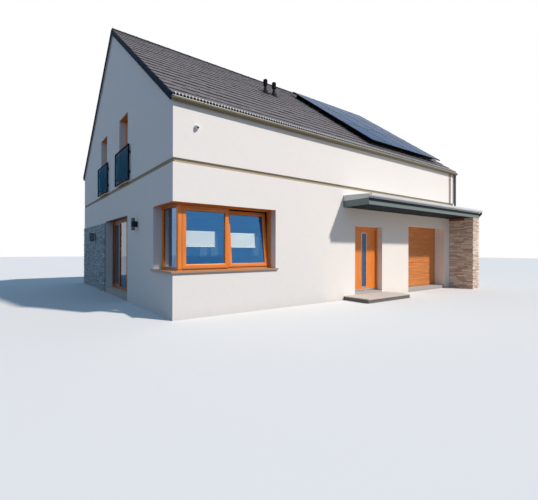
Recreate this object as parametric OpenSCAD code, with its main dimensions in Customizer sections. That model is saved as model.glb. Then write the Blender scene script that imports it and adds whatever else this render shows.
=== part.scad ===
// Detached house with a steep tiled roof, a corner window, a terrace door,
// an entrance canopy on a stone pier and a sectional garage door.
// The front faces -Y, X runs along the front, Z is up. All sizes in millimetres.
// The origin is on the underside of the ground slab, at the centre of the footprint.

/* [House] */
// Length of the house along its front
house_l = 12550; // [12200:50:13200]
// Depth of the house, across the gables
house_w = 10900; // [10500:50:11300]
// Thickness of the outer walls
wall_t = 420; // [390:10:450]

/* [Storeys] */
// Ground floor finish above the lowest ground
floor_z = 180; // [160:5:200]
// Garage floor above the lowest ground
garage_floor_z = 120; // [100:5:140]
// Underside of the groove between the storeys
groove_z = 3460; // [3440:10:3520]
// Height of the groove
groove_h = 100; // [80:5:120]
// Set-back of the groove from the wall face
groove_in = 40; // [20:5:60]
// Thickness of the upper floor
upper_slab_t = 300; // [240:10:340]
// Underside of the roof at the outer face of the eaves walls
eaves_z = 4780; // [4720:10:4840]

/* [Roof] */
// Slope of the roof, in degrees
roof_pitch = 37; // [35:0.5:39]
// Thickness of the roof, square to its slope
roof_t = 165; // [150:5:180]
// Thickness of the tile layer in it
tile_t = 60; // [50:5:70]
// Overhang of the tiles over the gutter
eaves_over = 60; // [45:5:70]
// Overhang of the roof beyond the gables
verge_over = 40; // [20:5:60]
// Thickness of the verge trim
verge_t = 25; // [20:1:35]
// Drop of the verge trim's top under that of the tiles
verge_drop = 40; // [30:1:50]
// Half width of the ridge cap along the slope, in plan
ridge_half = 150; // [120:5:180]
// Height of the ridge cap above the tiles
ridge_t = 30; // [20:1:40]

/* [Gutters and pipes] */
// Width of the roof gutters
gutter_w = 124; // [116:1:132]
// Depth of the roof gutters
gutter_d = 75; // [68:1:84]
// Sheet thickness of the gutters
gutter_skin = 4; // [3:0.5:6]
// Gap between the tiles and a gutter's rim
gutter_gap = 20; // [15:1:30]
// Diameter of the downpipes
pipe_d = 80; // [70:2:90]
// Distance from the front corner to the downpipe's axis
pipe_side = 60; // [50:5:90]
// Diameter of the thin conductor pipe beside it
thin_pipe_d = 40; // [30:2:50]
// Distance from the front corner to the thin pipe's axis
thin_pipe_side = 440; // [380:10:500]
// Gap between a pipe and the wall
pipe_gap = 15; // [10:1:25]

/* [Corner window] */
// Width of the corner window on the front
corner_w = 2820; // [2700:10:2950]
// Width of the corner window on the gable
corner_gable_w = 1264; // [1200:4:1320]
// Sill height of the ground floor windows
sill_z = 1030; // [1000:10:1080]
// Head height of the ground floor windows
head_z = 2600; // [2550:10:2660]
// Set-back of the window frames from the wall face
window_in = 205; // [190:5:225]
// Face height of the corner window's head
corner_head = 40; // [35:5:60]
// Tilt of the opened sash, in degrees
sash_tilt = 6; // [4:0.5:8]
// Distance from a pane's foot to the pleated blind behind it
blind_from = 400; // [350:10:450]
// Width of a pleated blind
blind_w = 750; // [700:10:800]
// Height of a pleated blind
blind_h = 370; // [330:10:420]
// Depth of a pleated blind
blind_t = 20; // [16:1:22]
// Gap between a pane and its blind
blind_gap = 4; // [3:0.5:6]

/* [Window frames] */
// Face width of a window frame
frame_face = 75; // [60:5:80]
// Depth of a window frame
frame_depth = 80; // [70:5:90]
// Face width of a sash
sash_face = 110; // [90:5:120]
// Face width of the beads round a pane without a sash
bead_face = 25; // [20:1:35]
// Distance that a sash stands out of its frame
sash_out = 12; // [8:1:16]
// Thickness of the glass units
glass_t = 28; // [20:2:36]
// Thickness of the outer sills
sill_t = 40; // [30:2:50]
// Distance that the outer sills stand out of the wall
sill_out = 45; // [35:5:60]
// Length of the sills' ears beside the openings
sill_ear = 60; // [40:5:80]

/* [Upper windows] */
// Width of a tall upper window
upper_win_w = 1000; // [950:10:1050]
// Head height of the upper windows
upper_head_z = 5670; // [5600:10:5720]
// Distance from the ridge line to the centre of an upper window
upper_win_off = 1365; // [1300:5:1430]

/* [Railings] */
// Width of a window railing
rail_w = 1580; // [1520:10:1640]
// Top of a window railing above the upper floor
rail_h = 1080; // [1020:10:1140]
// Size of the railing's square tubes
rail_tube = 40; // [35:1:45]
// Gap between the railing and the wall
rail_gap = 30; // [25:1:40]
// Distance from a railing's foot and top to its brackets
rail_bracket_from = 210; // [180:10:260]
// Number of horizontal bars between the tubes
rail_bars = 7; // [5:1:9]
// Height of a horizontal bar
rail_bar_h = 45; // [35:1:55]
// Thickness of a horizontal bar
rail_bar_t = 10; // [8:1:12]

/* [Plain windows] */
// Width of the plain windows at the back and on the far gable
plain_win_w = 1500; // [1400:20:1600]
// Spacing of the plain windows at the back
back_win_pitch = 3600; // [3400:50:3800]
// Distance from the middle of the far gable to each plain window's centre
right_win_off = 2500; // [2300:50:2700]

/* [Front door] */
// Distance from the near corner to the doorway
door_from = 6030; // [5950:10:6100]
// Width of the doorway
door_w = 1420; // [1360:10:1460]
// Head height of the doorway
door_head_z = 2330; // [2280:10:2380]
// Set-back of the door frame from the wall face
door_in = 190; // [170:5:210]
// Face width of the door frame
door_frame_face = 75; // [60:5:90]
// Thickness of the door leaf
door_leaf_t = 70; // [60:2:80]
// Height of the door's threshold
door_sill_h = 20; // [15:1:25]
// Width of the glass strip in the leaf
door_glass_w = 240; // [200:10:280]
// Distance from the leaf's foot and top to the glass strip
door_glass_from = 120; // [100:5:160]
// Clearance round the moving leaves
leaf_gap = 9; // [8.5:0.5:10]
// Width of the stop behind which a leaf closes
stop_w = 20; // [16:1:24]
// Thickness of that stop
stop_t = 18; // [14:1:22]
// Distance from the leaf's free edge to its handles
handle_from = 70; // [60:5:90]
// Length of the pull handle outside
pull_l = 360; // [300:10:450]
// Diameter of the pull handle
pull_d = 28; // [24:1:32]
// Gap between the pull handle and the leaf
pull_gap = 40; // [35:1:45]

/* [Doorstep] */
// Distance that the step reaches past the doorway's left side
step_side = 530; // [450:10:600]
// Length of the step
step_l = 2150; // [2080:10:2250]
// Depth of the step
step_w = 930; // [900:5:950]
// Height of the step
step_h = 130; // [110:5:145]

/* [Terrace door] */
// Distance from the near corner to the terrace door
terrace_from = 3600; // [3500:10:3700]
// Width of the terrace door
terrace_w = 2940; // [2850:10:3000]
// Head height of the terrace door
terrace_head_z = 2570; // [2520:10:2620]
// Set-back of the terrace door from the wall face
terrace_in = 240; // [220:5:255]
// Face width of the terrace door's leaf
leaf_face = 75; // [70:1:90]
// Number of bays of the terrace door
terrace_bays = 3; // [2:1:4]
// Radius of a hinge's barrel
hinge_r = 10; // [8:0.5:11]
// Distance from a leaf's inner face to its hinge axis
hinge_off = 12; // [11.5:0.5:14]
// Height of a hinge
hinge_h = 130; // [110:5:150]
// Width of a hinge's plate from its axis
hinge_plate_w = 45; // [35:1:55]
// Thickness of a hinge's plate
hinge_plate_t = 7; // [5:0.5:8]
// Distance from a leaf's foot and top to its outer hinges
hinge_from = 260; // [220:10:300]
// Length of a lever handle
lever_l = 130; // [110:5:150]
// Diameter of a lever handle
lever_d = 20; // [16:1:24]
// Reach of a lever handle off its leaf
lever_reach = 60; // [50:2:70]
// Width of a lever's plate
lever_plate_w = 40; // [36:1:50]
// Height of a lever's plate
lever_plate_h = 100; // [80:5:140]
// Thickness of a lever's plate
lever_plate_t = 10; // [8:1:12]
// Height of the handles above the floor
handle_h = 1050; // [1000:10:1100]

/* [Garage] */
// Distance from the far corner to the garage opening
garage_side = 850; // [800:10:950]
// Width of the garage opening
garage_w = 2650; // [2550:10:2700]
// Head height of the garage opening
garage_head_z = 2470; // [2420:10:2520]
// Overlap of the garage door behind the wall
garage_lap = 80; // [60:5:100]
// Thickness of the garage door
garage_leaf_t = 45; // [40:1:60]
// Number of sections of the garage door
garage_sections = 5; // [4:1:6]
// Height of the joint between two sections
garage_joint_h = 10; // [8:1:14]
// Depth of that joint
garage_joint_d = 8; // [5:1:12]
// Depth of the lowered garage floor
garage_l = 6000; // [5500:100:6500]

/* [Canopy and pier] */
// Distance that the canopy reaches past the doorway's left side
canopy_side = 560; // [530:10:640]
// Depth of the canopy
canopy_w = 960; // [940:5:1000]
// Underside of the canopy
canopy_z = 2880; // [2850:10:2920]
// Height of the canopy's lower fascia
fascia_h = 190; // [170:5:210]
// Height of the flashing over the fascia, at the front
flashing_h = 120; // [100:5:140]
// Fall of the canopy from the wall to its front
canopy_fall = 55; // [40:5:70]
// Thickness of the fascia boards
fascia_t = 25; // [20:1:30]
// Width of the canopy's gutter
canopy_gutter_w = 90; // [80:2:100]
// Diameter of the canopy's drain pipe
drain_d = 70; // [60:2:80]
// Drop of that pipe under the gutter before its slanted run
drain_drop = 60; // [50:5:80]
// Level reach of the slanted run back beside the canopy
drain_run = 320; // [280:10:380]
// Width of the stone pier
pier_w = 550; // [500:10:600]
// Distance that the pier reaches past the far gable
pier_out = 100; // [60:10:140]

/* [Stone panel] */
// Height of the stone panel on the gable
panel_h = 2520; // [2480:10:2560]
// Thickness of the stone panel
panel_t = 40; // [30:2:50]

/* [Solar array] */
// Distance from the far gable to the array
pv_side = 674; // [600:2:760]
// Distance from the eaves line to the array, in plan
pv_up = 370; // [330:10:420]
// Width of a module
module_w = 1134; // [1050:2:1140]
// Length of a module
module_l = 1762; // [1700:2:1780]
// Thickness of a module
module_t = 38; // [30:1:42]
// Gap between the modules
module_gap = 20; // [15:1:30]
// Modules along the eaves
pv_cols = 4; // [3:1:4]
// Modules up the slope
pv_rows = 3; // [2:1:3]
// Height of the rails on the tiles
pv_rail_h = 125; // [110:5:140]
// Width of the rails
pv_rail_w = 40; // [35:1:50]
// Distance from a module's lower and upper edge to a rail's centre
pv_rail_from = 390; // [300:10:450]

/* [Vents and fittings] */
// Distance from the near gable to the first vent pipe
vent_from = 4840; // [4700:20:4960]
// Distance between the vent pipes along the roof
vent_pitch = 405; // [380:5:440]
// Distance from the eaves line to the vent pipes, in plan
vent_up = 3260; // [3150:10:3350]
// Height of a vent pipe above the tiles
vent_h = 480; // [430:10:530]
// Diameter of a vent pipe
vent_d = 100; // [90:2:112]
// Diameter of a vent pipe's cap
vent_cap_d = 160; // [150:2:172]
// Height of a vent pipe's cap
vent_cap_h = 220; // [200:5:240]
// Width of the flashing round a vent pipe
vent_flash_w = 240; // [225:5:260]
// Length of that flashing up the slope
vent_flash_l = 300; // [280:5:320]
// Thickness of that flashing
vent_flash_t = 15; // [10:1:20]
// Height of the round wall lamp
lamp_h = 335; // [300:5:370]
// Diameter of the round wall lamp
lamp_d = 110; // [100:2:130]
// Gap between a lamp and the wall
lamp_gap = 60; // [50:2:80]
// Width of the lamps' brackets
bracket_w = 70; // [60:2:80]
// Height of the round lamp's bracket
bracket_h = 155; // [130:5:180]
// Width of the lantern
lantern_w = 150; // [140:2:170]
// Height of the lantern
lantern_h = 320; // [280:10:360]
// Height of the lantern's arm
lantern_arm_h = 30; // [24:1:40]
// Thickness of the lantern's wall plate
lantern_plate_t = 20; // [15:1:30]
// Centre of the round wall lamp above the ground
lamp_z = 2245; // [2200:5:2300]
// Centre of the lantern above the ground
lantern_z = 2050; // [2000:10:2120]
// Distance from the near corner to the round wall lamp
lamp_from = 2580; // [2500:10:2650]
// Distance from the terrace door to the lantern
lantern_side = 1660; // [1500:20:1800]
// Distance from the near corner to the security camera
camera_from = 550; // [500:10:600]
// Height of the security camera
camera_z = 4310; // [4250:10:4360]
// Diameter of the camera's base
camera_base_d = 110; // [100:2:120]
// Depth of the camera's base
camera_base_t = 50; // [50:1:60]
// Diameter of the camera's dome
camera_d = 90; // [80:1:96]

/* [Hidden] */

eps = 1;
seat = 0.3;
render_fn = 48;

half_l = house_l / 2;
half_w = house_w / 2;
upper_z = groove_z + groove_h;
slope = tan(roof_pitch);
roof_v = roof_t / cos(roof_pitch);
deck_v = (roof_t - tile_t) / cos(roof_pitch);
apex_z = eaves_z + half_w * slope;
gutter_rim_z = eaves_z + deck_v - eaves_over * slope - gutter_gap;
corner_x = corner_w - half_l;
corner_y = corner_gable_w - half_w;
door_x = door_from - half_l;
step_x = door_x - step_side;
terrace_y = terrace_from - half_w;
garage_x = half_l - garage_side - garage_w;
canopy_x = door_x - canopy_side;
pier_x = half_l + pier_out - pier_w;
canopy_end = half_l + pier_out;
canopy_front = -half_w - canopy_w;
canopy_top_z = canopy_z + fascia_h + flashing_h + canopy_fall;
pipe_foot_z = canopy_top_z - canopy_fall * pipe_gap / canopy_w + seat;
window_h = head_z - sill_z;
upper_win_h = upper_head_z - upper_z;
rail_foot = sill_t + seat;
rail_high = rail_h - rail_foot;
door_h = door_head_z - floor_z;
terrace_h = terrace_head_z - floor_z;
sash_depth = frame_depth + sash_out;
corner_post = sash_depth;
corner_front_w = corner_w - window_in;
corner_side_w = corner_gable_w - window_in;
corner_bay = (corner_front_w - corner_post - frame_face) / 2;
side_bay = corner_side_w - corner_post - frame_face;
corner_bay_h = window_h - frame_face - corner_head;
terrace_bay = (terrace_w - (terrace_bays + 1) * frame_face) / terrace_bays;
terrace_pane_h = terrace_h - 2 * frame_face - 2 * bead_face;
terrace_leaf_w = terrace_bay - 2 * leaf_gap;
terrace_leaf_h = terrace_h - 2 * frame_face - 2 * leaf_gap;
terrace_leaf_t = frame_depth - stop_t - leaf_gap;
door_frame_depth = stop_t + leaf_gap + door_leaf_t;
door_leaf_w = door_w - 2 * door_frame_face - 2 * leaf_gap;
door_leaf_h = door_h - door_frame_face - door_sill_h - 2 * leaf_gap;

plaster = [0.93, 0.91, 0.88];
groove_colour = [0.55, 0.47, 0.39];
oak = [0.72, 0.38, 0.14];
anthracite = [0.17, 0.18, 0.2];
tile_colour = [0.32, 0.3, 0.31];
stone_colour = [0.62, 0.55, 0.47];
zinc = [0.75, 0.77, 0.78];
glass_colour = [0.45, 0.6, 0.7, 0.5];

// Height of the roof's underside above a distance from the ridge line
function under_z(y) = eaves_z + (half_w - abs(y)) * slope;

// A box from one corner to the opposite one
module block(low, high) {
    translate(low) cube(high - low);
}

// An outline in Y and Z, drawn out along X
module along_x(from, to) {
    translate([from, 0, 0]) rotate([90, 0, 90]) linear_extrude(to - from) children();
}

// A straight round bar between two points
module rod(from, to, d) {
    run = to - from;
    len = norm(run);
    turn = atan2(run[1], run[0]);
    lean = acos(run[2] / len);
    translate(from) rotate([0, lean, turn]) cylinder(h = len, d = d, $fn = render_fn);
}

// Places on the four walls: local X runs to the right as seen from outside, local Y inwards
module on_front(along, up, inset) {
    translate([along, inset - half_w, up]) children();
}

module on_left(along, up, inset) {
    translate([inset - half_l, along, up]) rotate([0, 0, -90]) children();
}

module on_back(along, up, inset) {
    translate([along, half_w - inset, up]) rotate([0, 0, 180]) children();
}

module on_right(along, up, inset) {
    translate([half_l - inset, along, up]) rotate([0, 0, 90]) children();
}

// Places on the front slope: local X along the eaves, local Y up the slope, local Z off the tiles
module on_front_slope(along, up) {
    translate([along, up - half_w, under_z(half_w - up) + roof_v + seat]) rotate([roof_pitch, 0, 0]) children();
}

// Places of the four upper windows and of the five plain windows, each at its left foot
module at_upper_windows(inset) {
    for (side = [-1, 1]) {
        on_left(side * upper_win_off + upper_win_w / 2, upper_z, inset) children();
        on_right(side * upper_win_off - upper_win_w / 2, upper_z, inset) children();
    }
}

module at_plain_windows(inset) {
    for (i = [-1:1]) {
        on_back(i * back_win_pitch + plain_win_w / 2, sill_z, inset) children();
    }
    for (side = [-1, 1]) {
        on_right(side * right_win_off - plain_win_w / 2, sill_z, inset) children();
    }
}

// A flat ring of four bars round an opening
module ring(w, h, depth, face) {
    difference() {
        cube([w, depth, h]);
        translate([face, -eps, face]) cube([w - 2 * face, depth + 2 * eps, h - 2 * face]);
    }
}

// A sash ring that stands out of its frame
module sash_ring(from, w, h) {
    translate([from, 0, 0]) ring(w, h, sash_depth, sash_face);
}

// A window frame with its sashes, its outer face at Y = 0
module window_frame(w, h, sashes) {
    bay = (w - 2 * frame_face) / sashes;
    translate([0, sash_out, 0]) ring(w, h, frame_depth, frame_face);
    translate([frame_face, 0, frame_face]) for (i = [0:sashes - 1]) {
        sash_ring(i * bay, bay, h - 2 * frame_face);
    }
}

module window_panes(w, h, sashes) {
    bay = (w - 2 * frame_face) / sashes;
    pane_w = bay - 2 * sash_face;
    pane_h = h - 2 * frame_face - 2 * sash_face;
    pane_y = (sash_depth - glass_t) / 2;
    for (i = [0:sashes - 1]) {
        translate([frame_face + sash_face + i * bay, pane_y, frame_face + sash_face])
            cube([pane_w, glass_t, pane_h]);
    }
}

// A sill plate under a window, with ears outside the wall face
module sill_plate(w, inset) {
    translate([0, -inset, 0]) cube([w, inset, sill_t]);
    translate([-sill_ear, -inset - sill_out, 0]) cube([w + 2 * sill_ear, sill_out, sill_t]);
}

module floor_slab() {
    color("gray") difference() {
        union() {
            block([wall_t - half_l, wall_t - half_w, 0], [half_l - wall_t, half_w - wall_t, floor_z]);
            block([door_x, -half_w, 0], [door_x + door_w, wall_t - half_w + eps, floor_z]);
            block([garage_x, -half_w, 0], [garage_x + garage_w, wall_t - half_w + eps, garage_floor_z]);
            block([-half_l, terrace_y, 0], [wall_t - half_l + eps, terrace_y + terrace_w, floor_z]);
        }
        block([garage_x - garage_lap - eps, wall_t - half_w, garage_floor_z],
            [half_l - wall_t + eps, wall_t - half_w + garage_l, floor_z + eps]);
    }
}

module doorstep() {
    color(stone_colour) on_front(step_x, 0, -step_w) cube([step_l, step_w, step_h]);
}

// The corner wall in plan: one arm along the front, one along the gable
module corner_arms(low, high) {
    block([-half_l, -half_w, low], [corner_x, wall_t - half_w, high]);
    block([-half_l, -half_w, low], [wall_t - half_l, corner_y, high]);
}

module corner_walls() {
    color(plaster) {
        corner_arms(0, sill_z);
        corner_arms(head_z, groove_z);
    }
}

module front_wall() {
    color(plaster) {
        block([corner_x, -half_w, 0], [door_x, wall_t - half_w, groove_z]);
        block([door_x + door_w, -half_w, 0], [garage_x, wall_t - half_w, groove_z]);
        block([garage_x + garage_w, -half_w, 0], [half_l, wall_t - half_w, groove_z]);
    }
}

module door_lintels() {
    color(plaster) {
        block([-half_l, terrace_y, terrace_head_z], [wall_t - half_l, terrace_y + terrace_w, groove_z]);
        block([door_x, -half_w, door_head_z], [door_x + door_w, wall_t - half_w, groove_z]);
        block([garage_x, -half_w, garage_head_z], [garage_x + garage_w, wall_t - half_w, groove_z]);
    }
}

module left_wall() {
    color(plaster) {
        block([-half_l, corner_y, 0], [wall_t - half_l, terrace_y, groove_z]);
        block([-half_l, terrace_y + terrace_w, 0], [wall_t - half_l, half_w - wall_t, groove_z]);
    }
}

module plain_window_cuts() {
    at_plain_windows(-eps) cube([plain_win_w, wall_t + 2 * eps, window_h]);
}

module back_wall() {
    color(plaster) difference() {
        block([-half_l, half_w - wall_t, 0], [half_l, half_w, groove_z]);
        plain_window_cuts();
    }
}

module right_wall() {
    color(plaster) difference() {
        block([half_l - wall_t, wall_t - half_w, 0], [half_l, half_w - wall_t, groove_z]);
        plain_window_cuts();
    }
}

module groove_band() {
    color(groove_colour) difference() {
        block([groove_in - half_l, groove_in - half_w, groove_z], [half_l - groove_in, half_w - groove_in, upper_z]);
        block([wall_t - half_l, wall_t - half_w, groove_z - eps], [half_l - wall_t, half_w - wall_t, upper_z + eps]);
    }
}

module upper_floor() {
    color("gray")
        block([wall_t - half_l, wall_t - half_w, upper_z - upper_slab_t], [half_l - wall_t, half_w - wall_t, upper_z]);
}

// The wall above the groove under one roof slope, in Y and Z
module eaves_outline() {
    inner = wall_t - half_w;
    polygon([[-half_w, upper_z], [-half_w, eaves_z], [inner, under_z(inner)], [inner, upper_z]]);
}

module upper_front_wall() {
    color(plaster) along_x(-half_l, half_l) eaves_outline();
}

module upper_back_wall() {
    color(plaster) along_x(-half_l, half_l) mirror([1, 0, 0]) eaves_outline();
}

module gable(from) {
    inner = half_w - wall_t;
    color(plaster) difference() {
        along_x(from, from + wall_t)
            polygon([[-inner, upper_z], [-inner, under_z(inner)], [0, apex_z], [inner, under_z(inner)], [inner, upper_z]]);
        at_upper_windows(-eps) translate([0, 0, -eps]) cube([upper_win_w, wall_t + 2 * eps, upper_win_h + eps]);
    }
}

module left_gable() {
    gable(-half_l);
}

module right_gable() {
    gable(half_l - wall_t);
}

// Outlines of the front slope in Y and Z: a deck cut off at the wall, tiles that run on over the gutter
module deck_outline() {
    polygon([[-half_w, eaves_z], [-half_w, eaves_z + deck_v], [0, apex_z + deck_v], [0, apex_z]]);
}

module tile_outline(rise) {
    foot_z = eaves_z - eaves_over * slope;
    polygon([[-half_w - eaves_over, foot_z + deck_v], [-half_w - eaves_over, foot_z + roof_v + rise],
        [0, apex_z + roof_v + rise], [0, apex_z + deck_v]]);
}

module along_roof() {
    along_x(-half_l - verge_over, half_l + verge_over) children();
}

module roof_front_deck() {
    color(oak) along_roof() deck_outline();
}

module roof_back_deck() {
    color(oak) along_roof() mirror([1, 0, 0]) deck_outline();
}

module roof_front_tiles() {
    color(tile_colour) along_roof() tile_outline(0);
}

module roof_back_tiles() {
    color(tile_colour) along_roof() mirror([1, 0, 0]) tile_outline(0);
}

module ridge_cap() {
    side_z = apex_z + roof_v - ridge_half * slope;
    color(anthracite) along_roof()
        polygon([[-ridge_half, side_z], [-ridge_half, side_z + ridge_t], [0, apex_z + roof_v + ridge_t],
            [ridge_half, side_z + ridge_t], [ridge_half, side_z], [0, apex_z + roof_v]]);
}

module verge_trims() {
    color(anthracite) for (side = [-1, 1]) {
        start = side * (half_l + verge_over + verge_t / 2) - verge_t / 2;
        along_x(start, start + verge_t) for (flip = [0, 1]) {
            mirror([flip, 0, 0]) {
                deck_outline();
                tile_outline(-verge_drop);
            }
        }
    }
}

// A half-round gutter section, its rim at Y = 0 and its back at X = 0, with straight sides up to the rim
module gutter_outline(w, d) {
    intersection() {
        union() {
            translate([-w / 2, w / 2 - d]) circle(d = w, $fn = render_fn);
            translate([-w, w / 2 - d]) square([w, d]);
        }
        translate([-w, -d]) square([w, d]);
    }
}

module gutter(from, to, w, d) {
    difference() {
        along_x(from, to) gutter_outline(w, d);
        along_x(from + gutter_skin, to - gutter_skin) translate([-gutter_skin, gutter_skin])
            gutter_outline(w - 2 * gutter_skin, d);
    }
}

module roof_gutters() {
    color(groove_colour) for (turn = [0, 180]) {
        rotate([0, 0, turn]) translate([0, -half_w - seat, gutter_rim_z])
            gutter(-half_l - verge_over, half_l + verge_over, gutter_w, gutter_d);
    }
}

// A downpipe from the roof of the canopy or from the ground up to a gutter's bottom
module downpipe(along, foot, d) {
    top = gutter_rim_z - gutter_d - seat;
    translate([along, -half_w - pipe_gap - d / 2, foot]) cylinder(h = top - foot, d = d, $fn = render_fn);
}

module downpipes() {
    color(anthracite) {
        downpipe(half_l - pipe_side, pipe_foot_z, pipe_d);
        rotate([0, 0, 180]) {
            downpipe(half_l - pipe_side, 0, pipe_d);
            downpipe(pipe_side - half_l, 0, pipe_d);
        }
    }
}

module thin_pipe() {
    color(groove_colour) downpipe(half_l - thin_pipe_side, pipe_foot_z, thin_pipe_d);
}

module at_array() {
    on_front_slope(half_l - pv_side - pv_cols * (module_w + module_gap) + module_gap, pv_up) children();
}

module pv_modules() {
    color([0.1, 0.13, 0.22]) at_array() {
        for (i = [0:pv_cols - 1], j = [0:pv_rows - 1]) {
            translate([i * (module_w + module_gap), j * (module_l + module_gap), pv_rail_h])
                cube([module_w, module_l, module_t]);
        }
    }
}

module pv_rails() {
    array_w = pv_cols * (module_w + module_gap) - module_gap;
    color(zinc) at_array() {
        for (j = [0:pv_rows - 1], up = [pv_rail_from, module_l - pv_rail_from]) {
            translate([0, j * (module_l + module_gap) + up - pv_rail_w / 2, 0])
                cube([array_w, pv_rail_w, pv_rail_h]);
        }
    }
}

// A vent pipe with a cap and a flat flashing on the tiles
module vent_pipe(along) {
    on_front_slope(along, vent_up) {
        translate([-vent_flash_w / 2, -vent_flash_l / 2, 0]) cube([vent_flash_w, vent_flash_l, vent_flash_t]);
        difference() {
            rotate([-roof_pitch, 0, 0]) {
                translate([0, 0, -vent_d]) cylinder(h = vent_h + vent_d, d = vent_d, $fn = render_fn);
                translate([0, 0, vent_h - vent_cap_h])
                    cylinder(h = vent_cap_h, d = vent_cap_d, $fn = render_fn);
            }
            translate([-vent_d, -2 * vent_d, -2 * vent_d]) cube([2 * vent_d, 4 * vent_d, 2 * vent_d]);
        }
    }
}

module vent_pipes() {
    color("black") for (i = [0, 1]) {
        vent_pipe(vent_from + i * vent_pitch - half_l);
    }
}

// The canopy between its fascias, in Y and Z, with a slight fall to the front
module canopy_roof() {
    front = canopy_front + fascia_t;
    color(anthracite) along_x(canopy_x + fascia_t, canopy_end - fascia_t)
        polygon([[front, canopy_z], [front, canopy_top_z - canopy_fall], [-half_w, canopy_top_z], [-half_w, canopy_z]]);
}

// A band round the two ends and the front of the canopy
module canopy_band(low, rise) {
    difference() {
        along_x(canopy_x, canopy_end)
            polygon([[canopy_front, low], [canopy_front, rise[0]], [-half_w, rise[1]], [-half_w, low]]);
        block([canopy_x + fascia_t, canopy_front + fascia_t, low - eps],
            [canopy_end - fascia_t, eps - half_w, rise[1] + eps]);
    }
}

module canopy_fascia() {
    color([0.35, 0.4, 0.44]) canopy_band(canopy_z, [canopy_z + fascia_h, canopy_z + fascia_h]);
}

module canopy_flashing() {
    low = canopy_z + fascia_h;
    color([0.75, 0.73, 0.68]) canopy_band(low, [low + flashing_h, low + flashing_h + canopy_fall]);
}

// The canopy's gutter with a bent pipe that runs down beside the pier
module canopy_gutter() {
    rim_z = canopy_z + fascia_h + flashing_h;
    drain_x = canopy_end + pipe_gap + drain_d / 2;
    drain_y = canopy_front - canopy_gutter_w / 2;
    collar_d = 1.08 * drain_d;
    outlet = [drain_x, drain_y, rim_z - canopy_gutter_w + gutter_skin];
    bend = outlet - [0, 0, gutter_skin + drain_drop];
    elbow = bend + [0, drain_run, -drain_run];
    color(zinc) {
        translate([0, canopy_front, rim_z])
            gutter(canopy_x, drain_x + drain_d / 2, canopy_gutter_w, canopy_gutter_w);
        rod(bend, outlet, drain_d);
        translate(bend) sphere(d = collar_d, $fn = render_fn);
        rod(bend, elbow, drain_d);
        translate(elbow) sphere(d = collar_d, $fn = render_fn);
        rod([elbow[0], elbow[1], 0], elbow, drain_d);
    }
}

module stone_pier() {
    color(stone_colour) block([pier_x, canopy_front, 0], [canopy_end, -half_w, canopy_z]);
}

module stone_panel() {
    color(stone_colour)
        block([-half_l - panel_t, terrace_y + terrace_w, 0], [-half_l, half_w, panel_h]);
}

// The corner window: a corner post, a fixed bay and an open bay on the front, a fixed bay on the gable
module at_corner_front() {
    on_front(window_in - half_l, sill_z, window_in) children();
}

module at_corner_side() {
    on_left(corner_y, sill_z, window_in) children();
}

module corner_window_frame() {
    color(oak) {
        at_corner_front() {
            translate([0, sash_out, 0]) difference() {
                cube([corner_front_w, frame_depth, window_h]);
                translate([corner_post, -eps, frame_face])
                    cube([2 * corner_bay, frame_depth + 2 * eps, corner_bay_h]);
            }
            translate([0, 0, frame_face]) cube([corner_post, corner_post, corner_bay_h]);
            translate([0, 0, frame_face]) sash_ring(corner_post, corner_bay, corner_bay_h);
        }
        at_corner_side() {
            translate([0, sash_out, 0]) difference() {
                cube([corner_side_w - corner_post + sash_out, frame_depth, window_h]);
                translate([frame_face, -eps, frame_face])
                    cube([side_bay, frame_depth + 2 * eps, corner_bay_h]);
            }
            translate([frame_face, 0, frame_face]) ring(side_bay, corner_bay_h, sash_depth, bead_face);
        }
    }
}

module corner_pane(from, bay, face) {
    translate([from + face, (sash_depth - glass_t) / 2, frame_face + face])
        cube([bay - 2 * face, glass_t, corner_bay_h - 2 * face]);
}

module corner_window_glass() {
    color(glass_colour) {
        at_corner_front() corner_pane(corner_post, corner_bay, sash_face);
        at_corner_side() corner_pane(frame_face, side_bay, bead_face);
        at_tilted_sash() tilted_pane();
    }
}

// The open sash leans inwards about its foot, clear of the frame
module at_tilted_sash() {
    at_corner_front() translate([corner_post + corner_bay + leaf_gap, sash_out, frame_face + seat])
        translate([0, frame_depth, 0]) rotate([-sash_tilt, 0, 0]) translate([0, -frame_depth, 0]) children();
}

module tilted_sash() {
    color(oak) at_tilted_sash()
        ring(corner_bay - 2 * leaf_gap, corner_bay_h - 2 * leaf_gap, frame_depth, sash_face - leaf_gap);
}

module tilted_pane() {
    face = sash_face - leaf_gap;
    translate([face, (frame_depth - glass_t) / 2, face])
        cube([corner_bay - 2 * sash_face, glass_t, corner_bay_h - 2 * sash_face]);
}

// The pleated blinds hang beside the left stiles behind the two front panes
module blind(x, pane_y, foot) {
    translate([x + seat, pane_y + glass_t + blind_gap, foot + blind_from])
        cube([blind_w, blind_t, blind_h]);
}

module pleated_blinds() {
    color("white") {
        at_corner_front()
            blind(corner_post + sash_face, (sash_depth - glass_t) / 2, frame_face + sash_face);
        at_tilted_sash()
            blind(sash_face - leaf_gap, (frame_depth - glass_t) / 2, sash_face - leaf_gap);
    }
}

module corner_window_sill() {
    reach = sill_out + half_l;
    color(groove_colour) translate([0, 0, sill_z]) {
        block([-half_l, -half_w, 0], [corner_x, window_in - half_w, sill_t]);
        block([-half_l, -half_w, 0], [window_in - half_l, corner_y, sill_t]);
        block([-reach, -half_w - sill_out, 0], [corner_x + sill_ear, -half_w, sill_t]);
        block([-reach, -half_w - sill_out, 0], [-half_l, corner_y + sill_ear, sill_t]);
    }
}

module window_frames() {
    color(oak) {
        at_upper_windows(window_in) window_frame(upper_win_w, upper_win_h, 1);
        at_plain_windows(window_in) window_frame(plain_win_w, window_h, 2);
    }
}

module window_glass() {
    color(glass_colour) {
        at_upper_windows(window_in) window_panes(upper_win_w, upper_win_h, 1);
        at_plain_windows(window_in) window_panes(plain_win_w, window_h, 2);
        terrace_fixed_panes();
    }
}

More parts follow.
